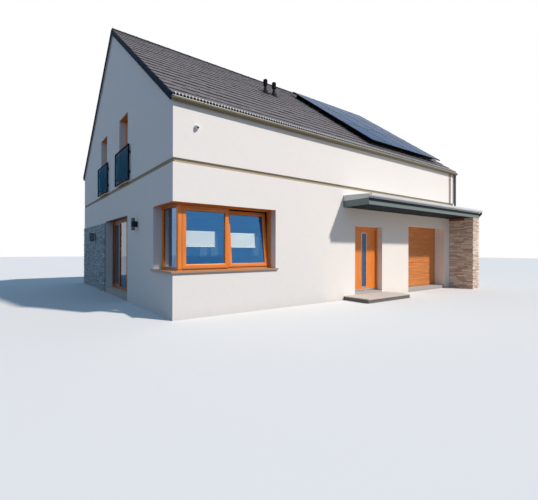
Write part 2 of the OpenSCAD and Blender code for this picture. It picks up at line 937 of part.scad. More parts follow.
module window_sills() {
    color(groove_colour) {
        at_upper_windows(window_in) sill_plate(upper_win_w, window_in);
        at_plain_windows(window_in) sill_plate(plain_win_w, window_in);
    }
}

// The railings in front of the tall windows: a tube frame with flat bars over the sill, on four brackets
module at_railings(inset) {
    at_upper_windows(-inset) translate([(upper_win_w - rail_w) / 2, 0, rail_foot]) children();
}

module railing() {
    pitch = (rail_high - 2 * rail_tube) / (rail_bars + 1);
    ring(rail_w, rail_high, rail_tube, rail_tube);
    for (i = [1:rail_bars]) {
        translate([rail_tube - eps, (rail_tube - rail_bar_t) / 2, rail_tube + i * pitch - rail_bar_h / 2])
            cube([rail_w - 2 * rail_tube + 2 * eps, rail_bar_t, rail_bar_h]);
    }
}

module railings() {
    color(anthracite) at_railings(rail_gap + rail_tube) railing();
}

module railing_brackets() {
    top = rail_high - rail_bracket_from - rail_tube;
    color(anthracite) at_railings(rail_gap) for (x = [0, rail_w - rail_tube], z = [rail_bracket_from, top]) {
        translate([x, 0, z]) cube([rail_tube, rail_gap, rail_tube]);
    }
}

// The terrace door: three bays, the left one seen from outside opens
module at_terrace() {
    on_left(terrace_y + terrace_w, floor_z, terrace_in) children();
}

module terrace_door_frame() {
    color(oak) at_terrace() difference() {
        cube([terrace_w, frame_depth, terrace_h]);
        translate([frame_face, stop_t, frame_face])
            cube([terrace_bay, frame_depth, terrace_h - 2 * frame_face]);
        translate([frame_face + stop_w, -eps, frame_face + stop_w])
            cube([terrace_bay - 2 * stop_w, frame_depth, terrace_h - 2 * frame_face - 2 * stop_w]);
        for (i = [1:terrace_bays - 1]) {
            translate([frame_face + bead_face + i * (terrace_bay + frame_face), -eps, frame_face + bead_face])
                cube([terrace_bay - 2 * bead_face, frame_depth + 2 * eps, terrace_pane_h]);
        }
    }
}

module terrace_fixed_panes() {
    at_terrace() for (i = [1:terrace_bays - 1]) {
        translate([frame_face + bead_face + i * (terrace_bay + frame_face),
            (frame_depth - glass_t) / 2, frame_face + bead_face])
            cube([terrace_bay - 2 * bead_face, glass_t, terrace_pane_h]);
    }
}

// The opening leaf lies behind its stop, with its inner face level with the frame
module at_terrace_leaf() {
    at_terrace() translate([frame_face + leaf_gap, stop_t + leaf_gap, frame_face + leaf_gap]) children();
}

module terrace_leaf() {
    color(oak) at_terrace_leaf() ring(terrace_leaf_w, terrace_leaf_h, terrace_leaf_t, leaf_face);
}

module terrace_leaf_glass() {
    color(glass_colour) at_terrace_leaf() translate([leaf_face, (terrace_leaf_t - glass_t) / 2, leaf_face])
        cube([terrace_leaf_w - 2 * leaf_face, glass_t, terrace_leaf_h - 2 * leaf_face]);
}

// A lever handle on a face at Y = 0, reaching towards +Y, with its lever towards local -X
module lever() {
    arm_y = lever_reach - lever_d / 2;
    rod([0, 0, 0], [0, lever_reach, 0], lever_d);
    rod([-lever_l, arm_y, 0], [0, arm_y, 0], lever_d);
    translate([-lever_plate_w / 2, 0, -lever_plate_h / 2]) cube([lever_plate_w, lever_plate_t, lever_plate_h]);
}

// A hinge about the Z axis, its plates at Y = -hinge_off: two knuckles on the frame, one on the leaf at -X
module hinge_knuckle(from, to, plate_x) {
    translate([0, 0, from]) cylinder(h = to - from, r = hinge_r, $fn = render_fn);
    translate([plate_x, -hinge_off, from]) cube([hinge_plate_w, hinge_plate_t, to - from]);
}

module hinge_on_frame() {
    inner = hinge_h / 4 + seat;
    hinge_knuckle(-hinge_h / 2, -inner, 0);
    hinge_knuckle(inner, hinge_h / 2, 0);
}

module hinge_on_leaf() {
    hinge_knuckle(-hinge_h / 4, hinge_h / 4, -hinge_plate_w);
}

// Heights of a leaf's three hinges
module at_hinges(leaf_h) {
    for (up = [hinge_from, leaf_h / 2, leaf_h - hinge_from]) {
        translate([0, 0, up]) children();
    }
}

// The hinge axes: at the left of the terrace leaf, at the right of the front door's leaf
module at_terrace_axis() {
    at_terrace() translate([frame_face + leaf_gap / 2, frame_depth + hinge_off, frame_face + leaf_gap])
        mirror([1, 0, 0]) at_hinges(terrace_leaf_h) children();
}

module at_front_axis() {
    at_front_door()
        translate([door_w - door_frame_face - leaf_gap / 2, door_frame_depth + hinge_off, door_sill_h + leaf_gap])
        at_hinges(door_leaf_h) children();
}

module door_hinges() {
    color(zinc) {
        at_terrace_axis() hinge_on_frame();
        at_front_axis() hinge_on_frame();
    }
}

module terrace_leaf_fittings() {
    color(zinc) {
        at_terrace_axis() hinge_on_leaf();
        at_terrace_leaf() translate([terrace_leaf_w - leaf_face / 2, terrace_leaf_t, handle_h - frame_face])
            lever();
    }
}

// The front door: a frame with stops, a leaf with a glass strip, hinged on its right side
module at_front_door() {
    on_front(door_x, floor_z, door_in) children();
}

module front_door_frame() {
    bay_w = door_w - 2 * door_frame_face;
    bay_h = door_h - door_frame_face - door_sill_h;
    color(oak) at_front_door() difference() {
        cube([door_w, door_frame_depth, door_h]);
        translate([door_frame_face, stop_t, door_sill_h]) cube([bay_w, door_frame_depth, bay_h]);
        translate([door_frame_face + stop_w, -eps, door_sill_h])
            cube([bay_w - 2 * stop_w, door_frame_depth, bay_h - stop_w]);
    }
}

module at_front_leaf() {
    at_front_door()
        translate([door_frame_face + leaf_gap, stop_t + leaf_gap, door_sill_h + leaf_gap]) children();
}

module door_strip(depth, extra) {
    translate([(door_leaf_w - door_glass_w) / 2, extra, door_glass_from])
        cube([door_glass_w, depth, door_leaf_h - 2 * door_glass_from]);
}

module front_door_leaf() {
    color(oak) at_front_leaf() difference() {
        cube([door_leaf_w, door_leaf_t, door_leaf_h]);
        door_strip(door_leaf_t + 2 * eps, -eps);
    }
}

module front_door_glass() {
    color(glass_colour) at_front_leaf() door_strip(glass_t, (door_leaf_t - glass_t) / 2);
}

module front_door_fittings() {
    pull_y = -pull_gap - pull_d / 2;
    stay = pull_l / 2 - 2 * pull_d;
    color(zinc) {
        at_front_axis() hinge_on_leaf();
        at_front_leaf() translate([handle_from, 0, handle_h - door_sill_h - leaf_gap]) {
            rod([0, pull_y, -pull_l / 2], [0, pull_y, pull_l / 2], pull_d);
            for (up = [-stay, stay]) {
                rod([0, pull_y, up], [0, 0, up], pull_d / 2);
            }
            translate([0, door_leaf_t, 0]) mirror([1, 0, 0]) lever();
        }
    }
}

// The garage door lies against the inner face of the wall, with a groove between its sections
module garage_door() {
    high = garage_head_z + garage_lap - garage_floor_z;
    wide = garage_w + 2 * garage_lap;
    section_h = (garage_head_z - garage_floor_z) / garage_sections;
    color(oak) on_front(garage_x - garage_lap, garage_floor_z, wall_t) difference() {
        cube([wide, garage_leaf_t, high]);
        for (i = [1:garage_sections - 1]) {
            translate([-eps, -eps, i * section_h - garage_joint_h / 2])
                cube([wide + 2 * eps, garage_joint_d + eps, garage_joint_h]);
        }
    }
}

// An upright round lamp in front of its bracket
module wall_lamp() {
    axis_y = -lamp_gap - lamp_d / 2;
    color(anthracite) on_left(lamp_from - half_w, lamp_z, 0) {
        translate([-bracket_w / 2, axis_y, -bracket_h / 2]) cube([bracket_w, -axis_y, bracket_h]);
        translate([0, axis_y, -lamp_h / 2]) cylinder(h = lamp_h, d = lamp_d, $fn = render_fn);
    }
}

// A square lantern on an arm, in front of the stone panel
module wall_lantern() {
    reach = lantern_w + lamp_gap;
    color(anthracite) on_left(terrace_y + terrace_w + lantern_side, lantern_z, -panel_t) {
        translate([-bracket_w / 2, -lantern_plate_t, -lantern_h / 2])
            cube([bracket_w, lantern_plate_t, lantern_h]);
        translate([-lantern_arm_h / 2, -reach, lantern_h / 4]) cube([lantern_arm_h, reach, lantern_arm_h]);
        translate([-lantern_w / 2, -reach, -lantern_h / 2]) cube([lantern_w, lantern_w, lantern_h]);
    }
}

module security_camera() {
    color("white") on_front(camera_from - half_l, camera_z, 0) {
        rod([0, 0, 0], [0, -camera_base_t, 0], camera_base_d);
        translate([0, -camera_base_t, 0]) sphere(d = camera_d, $fn = render_fn);
    }
}

floor_slab();
doorstep();
corner_walls();
front_wall();
left_wall();
door_lintels();
back_wall();
right_wall();
groove_band();
upper_floor();
upper_front_wall();
upper_back_wall();
left_gable();
right_gable();
roof_front_deck();
roof_back_deck();
roof_front_tiles();
roof_back_tiles();
ridge_cap();
verge_trims();
roof_gutters();
downpipes();
thin_pipe();
pv_modules();
pv_rails();
vent_pipes();
canopy_roof();
canopy_fascia();
canopy_flashing();
canopy_gutter();
stone_pier();
stone_panel();
corner_window_frame();
corner_window_glass();
tilted_sash();
pleated_blinds();
corner_window_sill();
window_frames();
window_glass();
window_sills();
railings();
railing_brackets();
terrace_door_frame();
terrace_leaf();
terrace_leaf_glass();
terrace_leaf_fittings();
front_door_frame();
front_door_leaf();
front_door_glass();
front_door_fittings();
door_hinges();
garage_door();
wall_lamp();
wall_lantern();
security_camera();
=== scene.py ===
"""Looks of a detached house with a steep tiled roof, a corner window, a canopy and solar modules.

All is in metres in the house's own frame: the front faces -Y, X runs along the front and Z is up.
Every piece is worked out from the fixed solids of the frame and from the sizes in the classes below.
"""

import logging
import math
import random
from dataclasses import dataclass, field
from enum import Enum
from functools import cache
from itertools import product
from typing import Iterable, Sequence

import bmesh
import bpy
from bpy.types import ID, Material, Mesh, Node, NodeSocket, NodeTree, Object
from mathutils import Matrix, Vector


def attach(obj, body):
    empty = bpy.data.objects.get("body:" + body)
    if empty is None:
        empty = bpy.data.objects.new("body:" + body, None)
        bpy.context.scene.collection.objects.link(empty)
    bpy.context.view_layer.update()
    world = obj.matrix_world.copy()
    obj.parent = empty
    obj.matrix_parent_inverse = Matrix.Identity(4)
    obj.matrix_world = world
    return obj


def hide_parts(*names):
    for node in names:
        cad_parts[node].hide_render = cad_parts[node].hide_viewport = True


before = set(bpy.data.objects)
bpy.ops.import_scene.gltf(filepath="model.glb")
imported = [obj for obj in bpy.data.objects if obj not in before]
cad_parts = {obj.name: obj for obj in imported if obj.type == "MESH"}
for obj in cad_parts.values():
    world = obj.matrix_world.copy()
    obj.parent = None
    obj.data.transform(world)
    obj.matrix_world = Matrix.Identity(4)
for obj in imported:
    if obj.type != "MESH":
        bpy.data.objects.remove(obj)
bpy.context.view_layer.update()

LOG = logging.getLogger("house")
HOUSE = "house"
FRONT_DOOR = "front_door"
TERRACE_DOOR = "terrace_door"
IMAGE_SIZE = (538, 500)
HERE = Matrix.Identity(4)
# LAP is how far a part runs into its neighbour, and NEAR how close a point is to an edge that it lies on.
LAP = 0.001
NEAR = 0.01

Pair = tuple[float, float]
Triple = tuple[float, float, float]
Colour = Triple
Outline = Sequence[Pair]


def move(x: float = 0.0, y: float = 0.0, z: float = 0.0) -> Matrix:
    """A move along the three axes."""
    return Matrix.Translation((x, y, z))


def spin(degrees: float, axis: str) -> Matrix:
    """A turn about an axis."""
    return Matrix.Rotation(math.radians(degrees), 4, axis)


class Side(Enum):
    """A wall of the house, by the turn of its own axes: X to the right seen from outside, Y inwards, Z up."""

    FRONT = 0
    RIGHT = 90
    BACK = 180
    LEFT = -90

    def matrix(self) -> Matrix:
        """The turn from this wall's axes to the house's."""
        return spin(self.value, "Z")


class Grain(Enum):
    """The axis that a bar's grain follows."""

    X = 0
    Y = 1
    Z = 2


@dataclass(frozen=True)
class Box:
    """An upright box in some frame, by its lowest and highest corner."""

    low: Vector
    high: Vector

    @classmethod
    def around(cls, points: Iterable[Vector], axes: Matrix = HERE) -> "Box":
        """The box round points of the house's frame, upright in other axes and in their coordinates."""
        local = [axes.inverted() @ point for point in points]
        return cls(Vector(map(min, *local)), Vector(map(max, *local)))

    @classmethod
    def of(cls, node: str, axes: Matrix = HERE) -> "Box":
        """The box round a fixed node, in the coordinates of some axes."""
        return cls.around(corners(node), axes)

    @property
    def size(self) -> Vector:
        """Its length along each axis."""
        return self.high - self.low

    @property
    def centre(self) -> Vector:
        """Its middle."""
        return (self.low + self.high) / 2

    def foot(self, axes: Matrix) -> Matrix:
        """The frame at its lowest corner, turned as the given axes are."""
        return axes @ Matrix.Translation(self.low)


def corners(node: str) -> list[Vector]:
    """The vertices of a fixed node."""
    return [vertex.co.copy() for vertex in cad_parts[node].data.vertices]


def solids(node: str) -> list[list[Vector]]:
    """Split a fixed node into its separate solids.

    Args:
        node: The node's name.

    Returns:
        One list of vertices for each solid.
    """
    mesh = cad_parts[node].data
    keys = [tuple(round(value, 5) for value in vertex.co) for vertex in mesh.vertices]
    group = {key: [key] for key in keys}
    for edge in mesh.edges:
        first, second = (group[keys[index]] for index in edge.vertices)
        if first is not second:
            second += first
            group.update((key, second) for key in first)
    return [[Vector(spot) for spot in group[key]] for key in sorted(group) if group[key][0] == key]


def side_of(points: Sequence[Vector]) -> Side:
    """Find the wall that a group of points stands out from most, or lies least behind.

    Args:
        points: The points, in the house's frame.

    Returns:
        The wall's side.
    """
    walls = Box.around(corners("upper_front_wall") + corners("upper_back_wall")).size.y / 2
    gables = Box.around(corners("left_gable") + corners("right_gable")).size.x / 2
    middle = Box.around(points).centre
    reach = {
        Side.FRONT: -middle.y - walls, Side.BACK: middle.y - walls,
        Side.LEFT: -middle.x - gables, Side.RIGHT: middle.x - gables,
    }
    return max(reach, key=reach.get)


def stand(points: Sequence[Vector], side: Side) -> tuple[Matrix, Vector]:
    """The frame at the lower left outer corner of a group of points in a wall's axes, and their size."""
    box = Box.around(points, side.matrix())
    return box.foot(side.matrix()), box.size


def bar_section(width: float, near: float, far: float) -> Outline:
    """A plain bar's section, by its width and the depths of its outer and its inner face."""
    return [(0, near), (width, near), (width, far), (0, far)]


def show(name: str, data: ID) -> Object:
    """Put data into the scene.

    Args:
        name: The name of its object.
        data: The data.

    Returns:
        The object.
    """
    made = bpy.data.objects.new(name, data)
    bpy.context.scene.collection.objects.link(made)
    return made


class Graph:
    """A node tree with short ways to add nodes and to link their sockets."""

    def __init__(self, tree: NodeTree) -> None:
        """Take over a tree."""
        self.tree = tree

    def feed(self, socket: NodeSocket, value: object) -> None:
        """Link an input, or set it.

        Args:
            socket: The input.
            value: The output to link it to, or a plain value; a colour gets full opacity.
        """
        if isinstance(value, NodeSocket):
            self.tree.links.new(value, socket)
        else:
            socket.default_value = (*value, 1.0) if socket.type == "RGBA" else value

    def put(self, kind: str, inputs: dict | None = None, **settings: object) -> Node:
        """Add a node.

        Args:
            kind: The node's type.
            inputs: Values or sockets by the name or number of the input.
            settings: The node's own properties.

        Returns:
            The new node.
        """
        made = self.tree.nodes.new(kind)
        for key, value in settings.items():
            setattr(made, key, value)
        for key, value in (inputs or {}).items():
            named = (socket for socket in made.inputs if socket.name == key and socket.enabled)
            self.feed(made.inputs[key] if isinstance(key, int) else next(named), value)
        return made

    def get(self, kind: str, inputs: dict | None = None, **settings: object) -> NodeSocket:
        """Add a node as put does, and take its first output in use."""
        made = self.put(kind, inputs, **settings)
        return next(socket for socket in made.outputs if socket.enabled)

    def maths(self, operation: str, *values: object) -> NodeSocket:
        """The result of a Math node on values or sockets."""
        return self.get("ShaderNodeMath", dict(enumerate(values)), operation=operation)

    def mix(self, share: object, first: object, second: object, blend: str = "MIX") -> NodeSocket:
        """Two colours mixed by a share."""
        inputs = {0: share, 6: first, 7: second}
        return self.put("ShaderNodeMix", inputs, data_type="RGBA", blend_type=blend).outputs[2]

    def noise(
        self, place: NodeSocket, scale: object, detail: float, rough: float = 0.5, bend: float = 0.0,
    ) -> NodeSocket:
        """Smooth noise round 0.5, by its scale, detail, roughness and distortion."""
        inputs = {"Vector": place, "Scale": scale, "Detail": detail, "Roughness": rough, "Distortion": bend}
        return self.put("ShaderNodeTexNoise", inputs).outputs[0]

    def ramp(self, value: object, low: float, high: float, last: float, first: float = 0.0) -> NodeSocket:
        """A value's climb from low to high as one from first to last, held at both ends."""
        inputs = {"Value": value, "From Min": low, "From Max": high, "To Min": first, "To Max": last}
        return self.get("ShaderNodeMapRange", inputs)

    def bump(self, height: NodeSocket, depth: object, strength: float = 1.0) -> NodeSocket:
        """The normal of a relief of some depth in metres."""
        return self.get("ShaderNodeBump", {"Strength": strength, "Distance": depth, "Height": height})

    def random(self, kind: str, low: object, high: object, seed: NodeSocket) -> NodeSocket:
        """A random value for each point."""
        return self.get("FunctionNodeRandomValue", {"Min": low, "Max": high, "Seed": seed}, data_type=kind)


def new_tree(
    kind: str, name: str, inputs: dict[str, str], output: tuple[str, str],
) -> tuple[Graph, Sequence[NodeSocket]]:
    """Start a node tree with named inputs and one output.

    Args:
        kind: Shader or Geometry.
        name: The tree's name.
        inputs: The kind of each input's socket, by the input's name.
        output: The output's name and the kind of its socket.

    Returns:
        The tree's graph, and the sockets inside it that carry its inputs.
    """
    tree = bpy.data.node_groups.new(name, f"{kind}NodeTree")
    tree.interface.new_socket(output[0], in_out="OUTPUT", socket_type=f"NodeSocket{output[1]}")
    for title, sort in inputs.items():
        tree.interface.new_socket(title, in_out="INPUT", socket_type=f"NodeSocket{sort}")
    return Graph(tree), tree.nodes.new("NodeGroupInput").outputs


@cache
def tone_group() -> NodeTree:
    """An effect: slow patches round a value of 1, by their Size in metres and the Spread of their tone.

    Returns:
        Its node group.
    """
    sockets = {"Vector": "Vector", "Size": "Float", "Spread": "Float"}
    graph, given = new_tree("Shader", "patchy_tone", sockets, ("Tone", "Float"))
    noise = graph.noise(given["Vector"], graph.maths("DIVIDE", 1.0, given["Size"]), 5.0, 0.6)
    swing = graph.maths("MULTIPLY", graph.maths("SUBTRACT", noise, 0.5), 2.0)
    graph.put("NodeGroupOutput", {"Tone": graph.maths("MULTIPLY_ADD", swing, given["Spread"], 1.0)})
    return graph.tree


@cache
def relief_group() -> NodeTree:
    """An effect: a fine grain in the surface, by its Size and its Depth in metres.

    Returns:
        Its node group.
    """
    sockets = {"Vector": "Vector", "Size": "Float", "Depth": "Float"}
    graph, given = new_tree("Shader", "fine_relief", sockets, ("Normal", "Vector"))
    noise = graph.noise(given["Vector"], graph.maths("DIVIDE", 1.0, given["Size"]), 3.0, 0.55)
    graph.put("NodeGroupOutput", {"Normal": graph.bump(noise, given["Depth"])})
    return graph.tree


@cache
def splash_group() -> NodeTree:
    """An effect: rain splash from 1 at the ground to 0 at its Reach in metres, broken up by noise.

    Returns:
        Its node group.
    """
    sockets = {"Vector": "Vector", "Reach": "Float"}
    graph, given = new_tree("Shader", "ground_splash", sockets, ("Mask", "Float"))
    height = graph.put("ShaderNodeSeparateXYZ", {"Vector": given["Vector"]}).outputs["Z"]
    uneven = graph.maths("ADD", graph.noise(given["Vector"], 4.0, 6.0), 0.5)
    share = graph.maths("DIVIDE", height, graph.maths("MULTIPLY", given["Reach"], uneven))
    near = graph.ramp(share, 0.0, 1.0, first=1.0, last=0.0)
    graph.put("NodeGroupOutput", {"Mask": graph.maths("POWER", near, 2.0)})
    return graph.tree


class Surface(Graph):
    """A material's graph, with its shader and the place on the object in metres."""

    def __init__(self, material: Material) -> None:
        """Take over a new material.

        Args:
            material: The material.
        """
        material.use_nodes = True
        super().__init__(material.node_tree)
        self.shader = self.tree.nodes["Principled BSDF"]
        self.place = self.put("ShaderNodeTexCoord").outputs["Object"]

    def give(self, inputs: dict[str, object]) -> None:
        """Set or link inputs of the shader by name."""
        for name, value in inputs.items():
            self.feed(self.shader.inputs[name], value)

    def effect(self, tree: NodeTree, values: dict[str, float]) -> NodeSocket:
        """Place an effect on the surface with values of its own."""
        return self.get("ShaderNodeGroup", {"Vector": self.place, **values}, node_tree=tree)

    def tone(self, size: float, spread: float) -> NodeSocket:
        """Patches of tone round 1, by their size and how far they go up and down."""
        return self.effect(tone_group(), {"Size": size, "Spread": spread})

    def toned(self, colour: object, size: float, spread: float) -> NodeSocket:
        """A colour made patchy by such a tone."""
        return self.mix(1.0, colour, self.tone(size, spread), "MULTIPLY")

    def roughen(self, size: float, depth: float) -> None:
        """Give the surface a fine grain of a size and a depth."""
        self.give({"Normal": self.effect(relief_group(), {"Size": size, "Depth": depth})})

    def own_tone(self) -> NodeSocket:
        """The tone that each unit of a piece has of its own, from 0 to 1."""
        return self.put("ShaderNodeAttribute", attribute_name="tone").outputs["Fac"]

    def along(self, stretch: Triple = (1.0, 1.0, 1.0)) -> NodeSocket:
        """The place along and across the grain in the UV map, stretched along each axis."""
        grain = self.get("ShaderNodeUVMap", uv_map="grain")
        return self.get("ShaderNodeMapping", {"Vector": grain, "Scale": stretch})

    def within(self, axis: int, half: float) -> NodeSocket:
        """A mask of 1 where the place is less than a distance from the object's middle along an axis."""
        spot = self.put("ShaderNodeSeparateXYZ", {"Vector": self.place}).outputs[axis]
        return self.maths("LESS_THAN", self.maths("ABSOLUTE", spot), half)


@dataclass(frozen=True)
class Finish:
    """A finish, by the record's slot, its colour, its roughness and its own name where the slot has more."""

    slot: str
    colour: Colour
    roughness: float
    name: str = field(default="", kw_only=True)

    def material(self) -> Material:
        """Build the finish as a material when it is first asked for.

        Returns:
            The material.
        """
        title = f"{self.name or self.slot}_finish"
        made = bpy.data.materials.get(title)
        if made is None:
            made = bpy.data.materials.new(title)
            made.diffuse_color = (*self.colour, 1.0)
            surface = Surface(made)
            surface.give({"Roughness": self.roughness})
            self.shade(surface)
        return made

    def shade(self, surface: Surface) -> None:
        """Give the surface its patterns, which each kind of finish has of its own."""
        raise NotImplementedError


@dataclass(frozen=True)
class MineralFinish(Finish):
    """Render, concrete or stone slab: patchy and grained, with rain splash near the ground and painted room
    shade.
    """

    grain: float = 0.003
    depth: float = 0.001
    patch: float = 1.8
    fine_patch: float = 0.09
    spread: float = 0.03
    splash: float = 0.15
    splash_reach: float = 0.35
    dirt: Colour = (0.40, 0.36, 0.31)
    # room: painted shade, a darker colour on the faces within room_half of the middle, inside the rooms
    room: Colour | None = None
    room_half: Pair = (5.86, 5.04)

    def shade(self, surface: Surface) -> None:
        """Slow and quick patches, the splash, painted shade on the sides that face the rooms, then the grain.

        Args:
            surface: The material\'s graph.
        """
        slow = surface.toned(self.colour, self.patch, self.spread)
        quick = surface.toned(slow, self.fine_patch, self.spread)
        wet = surface.effect(splash_group(), {"Reach": self.splash_reach})
        seen = surface.mix(surface.maths("MULTIPLY", wet, self.splash), quick, self.dirt)
        # Painted shade: the faces inside the rooms take the darker room colour.
        if self.room:
            near = [surface.within(axis, half) for axis, half in enumerate(self.room_half)]
            seen = surface.mix(surface.maths("MULTIPLY", *near), seen, self.room)
        surface.give({"Base Color": seen})
        surface.roughen(self.grain, self.depth)


@dataclass(frozen=True)
class SheetFinish(Finish):
    """Coated, galvanised or brushed metal, plastic and rubber."""

    metallic: float = 0.0
    gloss: float = 0.5
    patch: float = 0.5
    spread: float = 0.06
    wear: float = 0.25
    grain: float = 0.002
    depth: float = 0.00005

    def shade(self, surface: Surface) -> None:
        """A slightly uneven coat with a very fine grain.

        Args:
            surface: The material\'s graph.
        """
        surface.give({
            "Metallic": self.metallic,
            "Specular IOR Level": self.gloss,
            "Base Color": surface.toned(self.colour, self.patch, self.spread),
            "Roughness": surface.maths("MULTIPLY", surface.tone(self.patch / 6, self.wear), self.roughness),
        })
        surface.roughen(self.grain, self.depth)


@dataclass(frozen=True)
class WoodFinish(Finish):
    """Stained and varnished wood with its grain along the UV map's U."""

    dark: Colour
    coat: float = 0.05
    coat_roughness: float = 0.15
    rings: Triple = (1.1, 22.0, 1.0)
    ring_scale: float = 1.4
    late_wood: Triple = (0.36, 0.70, 0.75)
    late_roughness: float = 0.12
    pores: Triple = (9.0, 420.0, 1.0)
    pore_wood: Triple = (0.55, 0.75, 0.45)
    pore_depth: float = 0.0004

    def shade(self, surface: Surface) -> None:
        """Long streaks of late wood, fine pores and a thin coat.

        Args:
            surface: The material\'s graph.
        """
        rings = surface.noise(surface.along(self.rings), self.ring_scale, 5.0, rough=0.62, bend=0.35)
        pores = surface.noise(surface.along(self.pores), 1.0, 2.0)
        late = surface.ramp(rings, *self.late_wood)
        wood = surface.mix(late, self.colour, self.dark)
        surface.give({
            "Base Color": surface.mix(surface.ramp(pores, *self.pore_wood), wood, self.dark),
            "Roughness": surface.maths("MULTIPLY_ADD", late, self.late_roughness, self.roughness),
            "Coat Weight": self.coat,
            "Coat Roughness": self.coat_roughness,
            "Normal": surface.bump(pores, self.pore_depth, 0.6),
        })


@dataclass(frozen=True)
class UnitFinish(Finish):
    """Tiles or stones: each unit's own tone runs from the dark to the light colour, and veins cross it."""

    light: Colour
    vein: Colour
    vein_share: float
    vein_size: float
    grain: float
    depth: float
    veined: Pair = (0.45, 0.7)
    patch: float = 1.5
    spread: float = 0.08
    gloss: float = 0.3
    wear_size: float = 0.05
    wear: float = 0.15

    def shade(self, surface: Surface) -> None:
        """A tone for each unit, broken by veins and a grain.

        Args:
            surface: The material\'s graph.
        """
        base = surface.mix(surface.own_tone(), self.colour, self.light)
        noise = surface.noise(surface.place, 1 / self.vein_size, 6.0, 0.65)
        veined = surface.mix(surface.ramp(noise, *self.veined, self.vein_share), base, self.vein)
        surface.give({
            "Base Color": surface.toned(veined, self.patch, self.spread),
            "Roughness": surface.maths("MULTIPLY", surface.tone(self.wear_size, self.wear), self.roughness),
            "Specular IOR Level": self.gloss,
        })
        surface.roughen(self.grain, self.depth)


@dataclass(frozen=True)
class GlassFinish(Finish):
    """Glass with a gloss tinted blue as a painted sky reflection, which lets the lamps' light through."""

    transmission: float = 1.0
    ior: float = 2.7
    # The blue gloss tint is a painted sky reflection, as glossy rays see a white world.
    gloss: Colour = (0.10, 0.40, 1.0)
    patch: float = 0.9
    spread: float = 0.05

    def shade(self, surface: Surface) -> None:
        """A nearly even tint under the gloss, and a clear way for shadow rays.

        Args:
            surface: The material\'s graph.
        """
        surface.give({
            "Base Color": surface.toned(self.colour, self.patch, self.spread),
            "Transmission Weight": self.transmission,
            "IOR": self.ior,
            "Specular Tint": self.gloss,
        })
        clear = surface.get("ShaderNodeBsdfTransparent", {"Color": self.colour})
        shadow = surface.put("ShaderNodeLightPath").outputs["Is Shadow Ray"]
        both = surface.get("ShaderNodeMixShader", {0: shadow, 1: surface.shader.outputs[0], 2: clear})
        surface.feed(surface.tree.nodes["Material Output"].inputs["Surface"], both)


@dataclass(frozen=True)
class CellFinish(Finish):
    """Silicon cells under glass, with pale busbars across the UV map's U."""

    bars: float = 9.0
    bar: Colour = (0.16, 0.20, 0.26)
    bar_from: float = 0.93
    lighter: float = 1.6
    metallic: float = 0.97
    edge: Colour = (0.055, 0.21, 0.48)

    def shade(self, surface: Surface) -> None:
        """A tone for each cell, thin busbars and a blue gloss at low angles.

        Args:
            surface: The material\'s graph.
        """
        across = surface.put("ShaderNodeSeparateXYZ", {"Vector": surface.along()}).outputs["X"]
        step = surface.maths("FRACT", surface.maths("MULTIPLY", across, self.bars))
        light = tuple(self.lighter * value for value in self.colour)
        cell = surface.mix(surface.own_tone(), self.colour, light)
        bar = surface.maths("GREATER_THAN", step, self.bar_from)
        surface.give({
            "Base Color": surface.mix(bar, cell, self.bar),
            "Metallic": self.metallic,
            "Specular Tint": self.edge,
        })


@dataclass(frozen=True)
class FabricFinish(Finish):
    """A thin woven fabric."""

    weave: float = 0.0015
    depth: float = 0.0003
    patch: float = 0.1
    spread: float = 0.03

    def shade(self, surface: Surface) -> None:
        """A slightly uneven colour, and threads as a bump.

        Args:
            surface: The material\'s graph.
        """
        thread = {"Vector": surface.place, "Scale": 0.3 / self.weave, "Distortion": 1.0}
        threads = surface.put("ShaderNodeTexWave", thread, bands_direction="Z").outputs["Fac"]
        surface.give({
            "Base Color": surface.toned(self.colour, self.patch, self.spread),
            "Normal": surface.bump(threads, self.depth, 0.5),
        })


# The room colours of PLASTER, CONCRETE and DECK_BOARD are painted shade inside the house.
PLASTER = MineralFinish("plaster", (0.87, 0.835, 0.80), 0.9, room=(0.13, 0.14, 0.15))
GROOVE = MineralFinish("groove_plaster", (0.42, 0.34, 0.235), 0.9, splash=0.0)
CONCRETE = MineralFinish(
    "concrete", (0.42, 0.41, 0.39), 0.85, 0.01, depth=0.002, spread=0.1, room=(0.12, 0.105, 0.09),
)
STEP_STONE = MineralFinish("step_stone", (0.56, 0.51, 0.46), 0.75, 0.006, spread=0.12, splash=0.0)
# The step's sides are the step stone painted dark: painted shade.
SHADED_STEP_RISER = MineralFinish("step_stone", (0.10, 0.10, 0.095), 0.85, 0.008, spread=0.15, name="step_riser_painted_shade")
DECK_BOARD = MineralFinish(
    "roof_deck", (0.50, 0.50, 0.49), 0.8, grain=0.01, spread=0.1, splash=0.0, room=(0.2, 0.2, 0.2),
)
ROOF_TILE = UnitFinish(
    "roof_tile", (0.034, 0.037, 0.049), 0.6, light=(0.118, 0.110, 0.124), vein=(0.15, 0.130, 0.132),
    vein_share=0.25, vein_size=0.16, grain=0.008, depth=0.0015,
)
PIER_STONE = UnitFinish(
    "pier_stone", (0.52, 0.375, 0.280), 0.85, light=(0.98, 0.86, 0.76), vein=(0.34, 0.235, 0.175),
    vein_share=0.35, vein_size=0.05, grain=0.012, depth=0.006,
)
